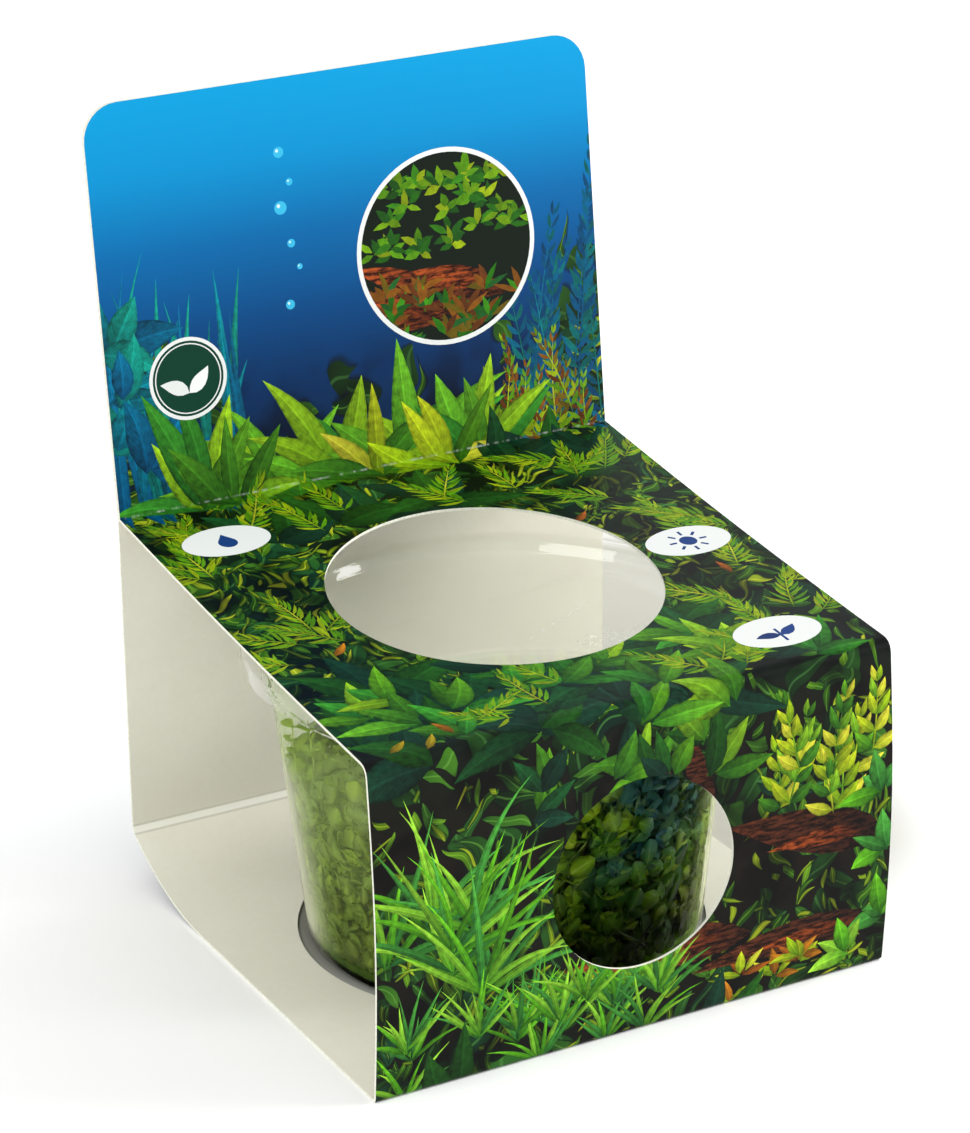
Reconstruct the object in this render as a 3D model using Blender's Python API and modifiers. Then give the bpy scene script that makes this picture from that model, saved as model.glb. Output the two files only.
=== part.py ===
"""Monte Carlo plants growing in a clear lidded cup, held in a folded card sleeve.

X runs across the sleeve, Y from the window to the back, Z up from the table.
The origin is on the table, in the middle of the whole object's bounding box.
"""
import math
import random

import bmesh
import bpy
from mathutils import Matrix, Vector, noise

MM = 0.001
GAP = 0.3 * MM

# Card sleeve, side view: Y from the lower front fold, Z up, outer faces
WIDTH = 90.0 * MM
BOARD = 0.5 * MM
FRONT_HEIGHT = 55.2 * MM
FRONT_BOW = 1.6 * MM
TOP_DEPTH = 86.8 * MM
TOP_RISE = 9.2 * MM
TOP_SAG = 0.6 * MM
HEADER_HEIGHT = 66.6 * MM
HEADER_LEAN = 6.4 * MM
FLAT_BASE = 62.0 * MM
BACK_FOLD_Y = 88.7 * MM
BACK_FOLD_HEIGHT = 9.0 * MM
BACK_FOLD_CHAMFER = 1.7 * MM
FRONT_TOP_ROUND = 2.0 * MM
SMALL_ROUND = 0.9 * MM
HEADER_CORNER = 6.0 * MM

# Die-cut holes in the sleeve
TOP_HOLE_RADIUS = 26.7 * MM
TOP_HOLE_X = -0.5 * MM
TOP_HOLE_FROM_FOLD = 42.8 * MM
WINDOW_RADIUS = 15.8 * MM
WINDOW_X = 0.3 * MM
WINDOW_HEIGHT = 27.5 * MM
BASE_HOLE_RADIUS = 33.2 * MM
BASE_HOLE_X = 0.1 * MM
BASE_HOLE_FROM_FRONT = 43.3 * MM

# Cup, turned about its own axis
CUP_X = 0.4 * MM
CUP_FROM_FRONT = 42.8 * MM
CUP_WALL = 0.8 * MM
CUP_FOOT_RADIUS = 30.7 * MM
CUP_WALL_RADIUS = 31.9 * MM
CUP_TAPER = 0.105
CUP_SHOULDER_HEIGHT = 45.0 * MM
CUP_NECK_RADIUS = 38.2 * MM
CUP_HEIGHT = 50.4 * MM
CUP_FLANGE_RADIUS = 40.2 * MM
CUP_FLANGE_THICKNESS = 0.8 * MM

# Lid, a shallow dish pressed into the cup's mouth
LID_WALL = 0.6 * MM
LID_RADIUS = 41.3 * MM
LID_TOP = 52.1 * MM
LID_SKIRT = 4.0 * MM
LID_DISH_DEPTH = 2.8 * MM

# What grows in the cup
GEL_TOP = 4.2 * MM
CLUMP_FRONT_TOP = 40.0 * MM
CLUMP_BACK_TOP = 26.0 * MM
LEAF_LENGTH = 4.6 * MM
LEAF_THICKNESS = 0.45 * MM
LYING_THICKNESS = 1.8 * MM
LEAF_SINK = 0.5 * MM
SHOOT_SINK = 2.4 * MM
STEM_RADIUS = 0.4 * MM
CLUMP_INSET = 2.2 * MM
CLUMP_LUMP = 1.0 * MM
SIDE_LEAVES = 64
SIDE_SPREAD = 0.76
TOP_LEAVES = 20
TOP_SPREAD = 0.78
GOLDEN_TURN = math.radians(137.5)
# Direction round the cup in degrees, distance from its axis, height and lean of each shoot, in mm
SHOOTS = [(192, 30.0, 6.0, 0.8), (206, 26.5, 4.0, -0.8), (238, 28.0, 4.5, 0.5), (262, 24.0, 4.0, -0.5),
          (296, 27.0, 5.0, 0.9), (330, 28.5, 4.2, -0.6)]

ROUND_STEPS = 48
HOLE_STEPS = 64


def start_empty():
    for item in list(bpy.data.objects):
        bpy.data.objects.remove(item, do_unlink=True)


def new_collection(name):
    found = bpy.data.collections.new(name)
    bpy.context.scene.collection.children.link(found)
    return found


def material(name, colour, roughness, alpha=1.0, transmission=0.0):
    made = bpy.data.materials.new(name)
    made.use_nodes = True
    shader = made.node_tree.nodes["Principled BSDF"]
    shader.inputs["Base Color"].default_value = (*colour, 1.0)
    shader.inputs["Roughness"].default_value = roughness
    shader.inputs["Metallic"].default_value = 0.0
    shader.inputs["Alpha"].default_value = alpha
    shader.inputs["Transmission Weight"].default_value = transmission
    return made


def mesh_object(name, shape, collection, finish=None):
    """Turn a bmesh into an object of that name."""
    mesh = bpy.data.meshes.new(name)
    shape.to_mesh(mesh)
    shape.free()
    made = bpy.data.objects.new(name, mesh)
    collection.objects.link(made)
    if finish:
        mesh.materials.append(finish)
    return made


def make_cutter(item):
    item.hide_render = True
    item.display_type = "WIRE"
    return item


def boolean(target, operand, operation, self_union=False):
    step = target.modifiers.new(operation.title(), "BOOLEAN")
    step.operation = operation
    step.object = operand
    step.solver = "EXACT"
    step.use_self = self_union


# Side view of the sleeve

def bowed(start, end, bow, steps):
    """Points from start to end, pushed to the right of the walk by bow in the middle."""
    along = end - start
    side = Vector((along.y, -along.x)).normalized()
    points = []
    for i in range(steps + 1):
        t = i / steps
        points.append(start + along * t + side * bow * math.sin(math.pi * t))
    return points


def curl_up(start, end, steps):
    """Arc that leaves start along the table and ends at end."""
    run = end - start
    radius = run.length_squared / (2 * run.y)
    sweep = math.asin(run.x / radius)
    points = []
    for i in range(steps + 1):
        turn = sweep * i / steps
        points.append(start + radius * Vector((math.sin(turn), 1 - math.cos(turn))))
    return points


def trimmed(points, at_start, at_end):
    """The same run of points, shortened at both ends."""
    first = points[0] + (points[1] - points[0]).normalized() * at_start
    last = points[-1] + (points[-2] - points[-1]).normalized() * at_end
    inner = [p for p in points[1:-1] if (p - points[0]).length > at_start and (p - points[-1]).length > at_end]
    return [first] + inner + [last]


def fold(before, corner, after, steps):
    """Points between two trimmed panels, rounding the corner between them."""
    a = before[-1]
    b = after[0]
    points = []
    for i in range(1, steps):
        t = i / steps
        points.append(a * (1 - t) ** 2 + corner * 2 * t * (1 - t) + b * t ** 2)
    return points


def offset_left(points, distance):
    """The open path moved to the left of its walk."""
    moved = []
    for i, p in enumerate(points):
        before = points[max(i - 1, 0)]
        after = points[min(i + 1, len(points) - 1)]
        along = (after - before).normalized()
        moved.append(p + Vector((-along.y, along.x)) * distance)
    return moved


FRONT_BOTTOM = Vector((0.0, 0.0))
BASE_BEND = Vector((FLAT_BASE, 0.0))
BACK_FOLD = Vector((BACK_FOLD_Y, BACK_FOLD_HEIGHT))
CHAMFER_LOW = BACK_FOLD - Vector((BACK_FOLD_CHAMFER * 0.55, BACK_FOLD_CHAMFER * 0.84))
FRONT_TOP = Vector((-0.6 * MM, FRONT_HEIGHT))
CREASE = Vector((FRONT_TOP.x + TOP_DEPTH, FRONT_HEIGHT + TOP_RISE))
HEADER_TOP = CREASE + Vector((HEADER_LEAN, HEADER_HEIGHT))
HEADER_UP = (HEADER_TOP - CREASE).normalized()
HEADER_BACK = Vector((HEADER_UP.y, -HEADER_UP.x))
BACK_TOP = CREASE + HEADER_BACK * 2 * BOARD
HEADER_TOP_BACK = HEADER_TOP + HEADER_BACK * 2 * BOARD


def sleeve_outlines():
    """Outer outline with the header, and the outline of the space inside."""
    front = trimmed(bowed(FRONT_TOP, FRONT_BOTTOM, FRONT_BOW, 9), FRONT_TOP_ROUND, SMALL_ROUND)
    flat = trimmed([FRONT_BOTTOM, BASE_BEND], SMALL_ROUND, 0.0)
    curl = trimmed(curl_up(BASE_BEND, CHAMFER_LOW, 8), 0.0, SMALL_ROUND / 2)
    chamfer = trimmed([CHAMFER_LOW, BACK_FOLD], SMALL_ROUND / 2, SMALL_ROUND / 2)
    back = trimmed([BACK_FOLD, BACK_TOP], SMALL_ROUND / 2, 0.0)
    top = trimmed(bowed(CREASE, FRONT_TOP, -TOP_SAG, 8), 0.0, FRONT_TOP_ROUND)
    front_fold = fold(top, FRONT_TOP, front, 6)
    bottom_fold = fold(front, FRONT_BOTTOM, flat, 4)
    low_fold = fold(curl, CHAMFER_LOW, chamfer, 2)
    high_fold = fold(chamfer, BACK_FOLD, back, 2)
    lower = flat + curl[1:] + low_fold + chamfer + high_fold + back
    upper = top + front_fold + front + bottom_fold
    outer = lower + [HEADER_TOP_BACK, HEADER_TOP] + upper
    under_top = offset_left(upper, BOARD)[1:]
    over_base = offset_left(bottom_fold[-1:] + lower, BOARD)[1:-1]
    inner_corner = CREASE + HEADER_BACK * BOARD - HEADER_UP * BOARD
    return outer, over_base + [inner_corner] + under_top


def bounds_middle(outline):
    return (min(p.x for p in outline) + max(p.x for p in outline)) / 2


OUTER, INNER = sleeve_outlines()
MIDDLE_Y = bounds_middle(OUTER)
CUP_Y = CUP_FROM_FRONT - MIDDLE_Y


def extruded_outline(name, loops, depth, collection):
    """A 2D curve filled between its loops and extruded both ways, as a welded mesh."""
    curve = bpy.data.curves.new(name, "CURVE")
    curve.dimensions = "2D"
    curve.fill_mode = "BOTH"
    curve.extrude = depth / 2
    for loop in loops:
        line = curve.splines.new("POLY")
        line.points.add(len(loop) - 1)
        for point, place in zip(line.points, loop):
            point.co = (place.x, place.y, 0.0, 1.0)
        line.use_cyclic_u = True
    drawn = bpy.data.objects.new(name + "_outline", curve)
    collection.objects.link(drawn)
    bpy.context.view_layer.update()
    mesh = bpy.data.meshes.new_from_object(drawn.evaluated_get(bpy.context.evaluated_depsgraph_get()))
    bpy.data.objects.remove(drawn, do_unlink=True)
    shape = bmesh.new()
    shape.from_mesh(mesh)
    bmesh.ops.remove_doubles(shape, verts=shape.verts, dist=0.00001)
    bmesh.ops.recalc_face_normals(shape, faces=shape.faces)
    return shape


def cylinder_cutter(name, radius, length, place, axis, collection):
    shape = bmesh.new()
    bmesh.ops.create_cone(shape, cap_ends=True, segments=HOLE_STEPS, radius1=radius, radius2=radius, depth=length)
    turned = Vector((0, 0, 1)).rotation_difference(axis).to_matrix().to_4x4()
    bmesh.ops.transform(shape, matrix=Matrix.Translation(place) @ turned, verts=shape.verts)
    return make_cutter(mesh_object(name, shape, collection))


def side_view_place(point, x):
    return Vector((x, point.x - MIDDLE_Y, point.y))


def card_sleeve(parts, cutters):
    # The curve lies in its own XY plane, which becomes the YZ plane here
    shape = extruded_outline("card_sleeve", [OUTER, INNER], WIDTH, parts)
    stand = Matrix(((0, 0, 1, 0), (1, 0, 0, -MIDDLE_Y), (0, 1, 0, 0), (0, 0, 0, 1)))
    bmesh.ops.transform(shape, matrix=stand, verts=shape.verts)
    bmesh.ops.recalc_face_normals(shape, faces=shape.faces)
    card = mesh_object("card_sleeve", shape, parts, material("printed_card", (0.05, 0.22, 0.12), 0.35))

    along_top = (CREASE - FRONT_TOP).normalized()
    top_centre = FRONT_TOP + along_top * TOP_HOLE_FROM_FOLD
    top_normal = Vector((0, -along_top.y, along_top.x))
    cut = cylinder_cutter("top_hole", TOP_HOLE_RADIUS, 14 * MM,
                          side_view_place(top_centre, TOP_HOLE_X), top_normal, cutters)
    boolean(card, cut, "DIFFERENCE")

    window = Vector((0.0, WINDOW_HEIGHT))
    cut = cylinder_cutter("window_hole", WINDOW_RADIUS, 12 * MM,
                          side_view_place(window, WINDOW_X), Vector((0, 1, 0)), cutters)
    boolean(card, cut, "DIFFERENCE")

    cut = cylinder_cutter("base_hole", BASE_HOLE_RADIUS, 16 * MM,
                          Vector((BASE_HOLE_X, BASE_HOLE_FROM_FRONT - MIDDLE_Y, 0)), Vector((0, 0, 1)), cutters)
    boolean(card, cut, "DIFFERENCE")

    boolean(card, corner_outline(cutters), "INTERSECT")
    return card


def corner_outline(cutters):
    """Front view of the sleeve with its two rounded header corners, a hair wider than the card."""
    ease = 0.03 * MM
    half = WIDTH / 2 + ease
    top = HEADER_TOP.y + ease
    below = -5 * MM
    steps = 8
    right = []
    for i in range(steps + 1):
        turn = math.radians(90) * i / steps
        right.append(Vector((half - HEADER_CORNER + HEADER_CORNER * math.cos(turn),
                             top - HEADER_CORNER + HEADER_CORNER * math.sin(turn))))
    left = [Vector((-p.x, p.y)) for p in reversed(right)]
    loop = [Vector((half, below))] + right + left + [Vector((-half, below))]
    shape = extruded_outline("header_corners", [loop], 3 * TOP_DEPTH, cutters)
    bmesh.ops.transform(shape, matrix=Matrix.Rotation(math.radians(90), 4, "X"), verts=shape.verts)
    return make_cutter(mesh_object("header_corners", shape, cutters))


# Turned pieces

def turned(name, profile, collection, finish):
    """Spin a profile, given as (radius, height) points, about the cup's axis."""
    shape = bmesh.new()
    verts = [shape.verts.new((radius, 0.0, height)) for radius, height in profile]
    for a, b in zip(verts, verts[1:]):
        shape.edges.new((a, b))
    made = mesh_object(name, shape, collection, finish)
    made.location = (CUP_X, CUP_Y, 0.0)
    spin = made.modifiers.new("Screw", "SCREW")
    spin.angle = math.radians(360)
    spin.steps = ROUND_STEPS
    spin.render_steps = ROUND_STEPS
    spin.use_merge_vertices = True
    spin.merge_threshold = 0.00001
    spin.use_smooth_shade = True
    return made


def corner_arc(centre, radius, start, end, steps):
    """Profile points on an arc, angles in degrees from the +radius direction."""
    points = []
    for i in range(steps + 1):
        turn = math.radians(start + (end - start) * i / steps)
        points.append((centre[0] + radius * math.cos(turn), centre[1] + radius * math.sin(turn)))
    return points


def outer_wall(height):
    return CUP_WALL_RADIUS + CUP_TAPER * height


def inner_wall(height):
    return outer_wall(height) - CUP_WALL


def cup(parts, clear):
    foot = outer_wall(1.4 * MM) - CUP_FOOT_RADIUS
    shoulder = CUP_SHOULDER_HEIGHT
    flange = CUP_HEIGHT - CUP_FLANGE_THICKNESS
    profile = [(0.0, CUP_WALL)]
    profile += corner_arc((inner_wall(2 * MM) - 1.2 * MM, CUP_WALL + 1.2 * MM), 1.2 * MM, -90, 0, 3)
    profile += [(inner_wall(shoulder), shoulder + CUP_WALL)]
    profile += [(CUP_NECK_RADIUS - CUP_WALL, shoulder + 2 * CUP_WALL)]
    profile += [(CUP_NECK_RADIUS - CUP_WALL, CUP_HEIGHT)]
    profile += [(CUP_FLANGE_RADIUS, CUP_HEIGHT), (CUP_FLANGE_RADIUS, flange)]
    profile += [(CUP_NECK_RADIUS, flange), (CUP_NECK_RADIUS, shoulder + CUP_WALL)]
    profile += [(outer_wall(shoulder), shoulder)]
    profile += corner_arc((CUP_FOOT_RADIUS, foot), foot, 0, -90, 3)
    profile += [(0.0, 0.0)]
    return turned("cup", profile, parts, clear)


def lid(parts, clear):
    dish = CUP_NECK_RADIUS - CUP_WALL - GAP
    dish_top = LID_TOP - LID_DISH_DEPTH
    under_rim = CUP_HEIGHT + GAP
    skirt = LID_TOP - LID_SKIRT
    profile = [(0.0, dish_top), (dish - LID_WALL - 0.4 * MM, dish_top), (dish - LID_WALL, dish_top + 0.4 * MM)]
    profile += [(dish - LID_WALL, LID_TOP - 0.3 * MM), (dish, LID_TOP)]
    profile += [(LID_RADIUS - 0.5 * MM, LID_TOP), (LID_RADIUS, LID_TOP - 0.5 * MM)]
    profile += [(LID_RADIUS, skirt), (LID_RADIUS - LID_WALL, skirt)]
    profile += [(LID_RADIUS - LID_WALL, under_rim), (dish, under_rim)]
    profile += [(dish, dish_top - LID_WALL + 0.4 * MM), (dish - 0.4 * MM, dish_top - LID_WALL)]
    profile += [(0.0, dish_top - LID_WALL)]
    return turned("lid", profile, parts, clear)


def growing_gel(parts):
    low = CUP_WALL + GAP
    edge = inner_wall(2 * MM) - GAP
    profile = [(0.0, GEL_TOP), (edge - 1.5 * MM, GEL_TOP), (edge, GEL_TOP + 0.5 * MM)]
    profile += [(edge, low + 1.2 * MM), (edge - 1.2 * MM, low), (0.0, low)]
    return turned("growing_gel", profile, parts, material("gel", (0.03, 0.10, 0.005), 0.2, alpha=0.9))


# Plants

def clump_top(x, y):
    """Height of the leafy tangle: high against the window side, lower at the back."""
    reach = inner_wall(30 * MM)
    t = 0.5 - 0.5 * max(-1.0, min(1.0, y / reach))
    slope = CLUMP_BACK_TOP + (CLUMP_FRONT_TOP - CLUMP_BACK_TOP) * (3 * t * t - 2 * t ** 3)
    return slope + 1.3 * MM * noise.noise(Vector((x, y, 0.0)) * 110 + Vector((3.1, 0, 0)))


def clump_point(direction):
    """A point of the tangle's skin in a direction from its middle: a lumpy, slanted cylinder."""
    flat = math.hypot(direction.x, direction.y)
    grow = 1 / max(flat, abs(direction.z))
    along = Vector((direction.x * grow, direction.y * grow))
    rise = direction.z * grow
    low = GEL_TOP + 0.5 * MM + GAP
    wide = inner_wall(10 * MM) - CLUMP_INSET
    height = low + (clump_top(along.x * wide, along.y * wide) - low) * (rise + 1) / 2
    lump = noise.noise(direction.normalized() * 4.5) * CLUMP_LUMP
    wide = inner_wall(height) - CLUMP_INSET + lump
    if rise > 0.6:
        wide -= 1.5 * MM * (rise - 0.6) / 0.4
    return Vector((along.x * wide, along.y * wide, height))


def add_leaf(shape, tip_way, facing, root, length, thickness):
    """A flat oval blade, from its root outwards."""
    made = bmesh.ops.create_cone(shape, cap_ends=True, segments=7, radius1=0.5, radius2=0.5, depth=1.0)
    along = tip_way.normalized()
    normal = (facing - along * facing.dot(along)).normalized()
    across = normal.cross(along)
    size = Matrix.Diagonal((length, length * 0.72, thickness, 1.0))
    turn = Matrix((along, across, normal)).transposed().to_4x4()
    place = Matrix.Translation(root + along * length * 0.42)
    bmesh.ops.transform(shape, matrix=place @ turn @ size, verts=made["verts"])


def keep_inside_cup(shape):
    """Flatten what would reach the cup's wall against it."""
    for vert in shape.verts:
        limit = inner_wall(vert.co.z) - 2 * GAP
        flat = math.hypot(vert.co.x, vert.co.y)
        if flat > limit:
            vert.co.x *= limit / flat
            vert.co.y *= limit / flat


def lying_leaves(shape, chance):
    """Leaves that lie on the tangle, each with its root sunk in it: a spiral up its side, and its top."""
    up = Vector((0, 0, 1))
    for i in range(SIDE_LEAVES):
        turn = i * GOLDEN_TURN
        out = Vector((math.cos(turn), math.sin(turn), 0.0))
        rise = SIDE_SPREAD * (2 * (i + 0.5) / SIDE_LEAVES - 1)
        root = clump_point(out + up * rise) - out * LEAF_SINK
        way = up + out.cross(up) * chance.uniform(-1.4, 1.4) + out * 0.25
        add_leaf(shape, way, out, root, LEAF_LENGTH, LYING_THICKNESS)
    for i in range(TOP_LEAVES):
        turn = i * GOLDEN_TURN
        reach = TOP_SPREAD * math.sqrt((i + 0.5) / TOP_LEAVES)
        root = clump_point(Vector((math.cos(turn) * reach, math.sin(turn) * reach, 1.0))) - up * LEAF_SINK
        swing = chance.uniform(0, math.tau)
        way = Vector((math.cos(swing), math.sin(swing), 0.3))
        add_leaf(shape, way, up, root, LEAF_LENGTH, LYING_THICKNESS)


def shoot(shape, degrees, reach, height, lean):
    """A young shoot that stands up out of the tangle, with leaves in opposite pairs."""
    turn = math.radians(degrees)
    foot = Vector((math.cos(turn) * reach, math.sin(turn) * reach, 0.0))
    foot.z = clump_top(foot.x, foot.y) - SHOOT_SINK
    tip = foot + Vector((lean * math.sin(turn), -lean * math.cos(turn), height + SHOOT_SINK))
    way = tip - foot
    stem = bmesh.ops.create_cone(shape, cap_ends=True, segments=6, radius1=STEM_RADIUS,
                                 radius2=STEM_RADIUS * 0.7, depth=way.length)
    spin = Vector((0, 0, 1)).rotation_difference(way).to_matrix().to_4x4()
    bmesh.ops.transform(shape, matrix=Matrix.Translation((foot + tip) / 2) @ spin, verts=stem["verts"])
    pairs = max(2, round(height / (2.4 * MM)))
    for pair in range(pairs):
        node = tip - way.normalized() * height * (0.03 + 0.8 * pair / pairs)
        quarter = turn + pair * math.radians(80)
        for side in (1, -1):
            out = Vector((math.cos(quarter), math.sin(quarter), 0.0)) * side
            blade_way = out + Vector((0, 0, 0.5 + 0.12 * side))
            root = node + Vector((0, 0, 0.2 * side * MM))
            length = LEAF_LENGTH * (0.6 + 0.2 * pair / pairs)
            add_leaf(shape, blade_way, Vector((0, 0, 1)), root, length, LEAF_THICKNESS)


def plant_clump(parts, cutters, green):
    shape = bmesh.new()
    bmesh.ops.create_uvsphere(shape, u_segments=36, v_segments=14, radius=1.0)
    for vert in shape.verts:
        vert.co = clump_point(vert.co)
    bmesh.ops.recalc_face_normals(shape, faces=shape.faces)
    clump = mesh_object("plant_clump", shape, parts, green)
    clump.location = (CUP_X, CUP_Y, 0.0)

    leaves = bmesh.new()
    lying_leaves(leaves, random.Random(7))
    for degrees, reach, height, lean in SHOOTS:
        shoot(leaves, degrees, reach * MM, height * MM, lean * MM)
    keep_inside_cup(leaves)
    blades = make_cutter(mesh_object("leaves_and_shoots", leaves, cutters))
    blades.location = clump.location
    boolean(clump, blades, "UNION", self_union=True)
    return clump


def main():
    start_empty()
    parts = new_collection("monte_carlo_carpet_plant")
    cutters = new_collection("cutters")
    clear = material("clear_plastic", (0.95, 0.97, 0.96), 0.05, alpha=0.35, transmission=1.0)
    green = material("leaf", (0.12, 0.30, 0.02), 0.45)

    card_sleeve(parts, cutters)
    cup(parts, clear)
    lid(parts, clear)
    growing_gel(parts)
    plant_clump(parts, cutters, green)


main()
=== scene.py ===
"""Looks for Monte Carlo plants in a clear lidded cup inside a printed card sleeve.

Lengths are in millimetres in the constants and in the drawing of the print, and in metres on the objects.
"""
import math
import random

import bpy
import numpy as np
from mathutils import Matrix, Vector, geometry, noise


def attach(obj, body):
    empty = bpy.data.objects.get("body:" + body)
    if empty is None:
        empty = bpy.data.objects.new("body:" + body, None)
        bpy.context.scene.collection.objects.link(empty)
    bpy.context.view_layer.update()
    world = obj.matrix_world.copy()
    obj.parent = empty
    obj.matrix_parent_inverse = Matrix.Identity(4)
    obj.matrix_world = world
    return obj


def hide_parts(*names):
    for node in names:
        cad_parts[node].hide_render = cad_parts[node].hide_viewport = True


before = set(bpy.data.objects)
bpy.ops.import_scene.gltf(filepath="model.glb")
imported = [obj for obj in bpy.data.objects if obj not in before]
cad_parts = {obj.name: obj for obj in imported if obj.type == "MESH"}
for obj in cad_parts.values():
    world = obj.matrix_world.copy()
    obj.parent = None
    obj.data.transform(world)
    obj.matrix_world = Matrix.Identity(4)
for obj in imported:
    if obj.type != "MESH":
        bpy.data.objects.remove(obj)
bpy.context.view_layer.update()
MM = 0.001

# Camera, fitted to the sleeve's corners, folds and holes
IMAGE_HEIGHT = 1133
FOCAL_PIXELS = 3843.2956
CAMERA_PLACE = (-0.264402, -0.494912, 0.285978)
CAMERA_AZIMUTH = math.radians(-28.08245)
CAMERA_ELEVATION = math.radians(21.86332)
CAMERA_ROLL = math.radians(-1.14992)

# Sleeve, as in the solids but for the board, which is a little thinner. Holes: across, from the fold, radius
WIDTH = 90.0
BOARD = 0.48
HEADER_CORNER = 6.0
FRONT_HEIGHT = 55.2
TOP_DEPTH = 86.8
TOP_RISE = 9.2
BACK_FOLD = Vector((88.7, 9.0))
BACK_FOLD_CHAMFER = 1.7
CHAMFER_WAY = Vector((0.55, 0.84))
FLAT_BASE = 62.0
FRONT_BOW = 1.6
FRONT_LEAN = 0.6
TOP_SAG = 0.6
HEADER_RISE = Vector((6.4, 66.6))
HEADER_THICKNESS = 1.0
SMALL_ROUND = 0.9
FRONT_TOP_ROUND = 2.0
TOP_HOLE = (-0.5, 42.8, 26.7)
WINDOW = (0.3, 27.5, 15.8)
BASE_HOLE = (0.1, 43.3, 33.2)
HOLE_STEPS = 120

# Cup, lid and what grows in the cup, as in the solids but for the walls, which are thin here
CUP_X = 0.4
CUP_FROM_FRONT = 42.8
CUP_WALL = 0.5
CUP_FOOT_RADIUS = 30.7
CUP_WALL_RADIUS = 31.9
CUP_TAPER = 0.105
SHOULDER = 45.0
NECK_RADIUS = 38.2
CUP_HEIGHT = 50.4
FLANGE_RADIUS = 40.2
LID_RADIUS = 41.3
LID_TOP = 52.1
LID_WALL = 0.45
DISH_DEPTH = 2.8
DISH_GAP = 0.3
DISH_DRAFT = 13
RIM_DEPTH = 4.0
GEL_TOP = 4.2
GEL_SEEN = 2.5
ROUND_STEPS = 192


# Small helpers

def srgb(*screen):
    """A screen colour, 0 to 255, as the linear values that shaders take."""
    return tuple(((c / 255 + 0.055) / 1.055) ** 2.4 if c > 10 else c / 255 / 12.92 for c in screen)


def linked(name, data):
    """A new object of this data in the scene."""
    made = bpy.data.objects.new(name, data)
    bpy.context.scene.collection.objects.link(made)
    return made


def link_piece(mesh, slot, *nodes):
    """A piece that rides on the root, and the solids that it takes the place of. Its material slot is not
    used.
    """
    made = linked(mesh.name, mesh)
    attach(made, "root")
    if nodes:
        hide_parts(*nodes)
    return made


def built_mesh(name, points, faces, *materials):
    """A smooth mesh from points in millimetres."""
    mesh = bpy.data.meshes.new(name)
    mesh.from_pydata((np.asarray(points, float) * MM).tolist(), [], faces)
    mesh.polygons.foreach_set("use_smooth", [True] * len(mesh.polygons))
    mesh.update()
    for material in materials:
        mesh.materials.append(material)
    return mesh


def band(first, second, count):
    """Quads between two rings of as many points, each given by its first point's number."""
    pairs = [(k, (k + 1) % count) for k in range(count)]
    return [[first + k, first + j, second + j, second + k] for k, j in pairs]


class Value:
    """A node's output, for plain arithmetic."""

    def __init__(self, net, socket):
        self.net = net
        self.socket = socket

    def __add__(self, other):
        return self.net.math("ADD", self, other)

    def __sub__(self, other):
        return self.net.math("SUBTRACT", self, other)

    def __rsub__(self, other):
        return self.net.math("SUBTRACT", other, self)

    def __mul__(self, other):
        return self.net.math("MULTIPLY", self, other)

    def __truediv__(self, other):
        return self.net.math("DIVIDE", self, other)

    def __abs__(self):
        return self.net.math("ABSOLUTE", self)


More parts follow.
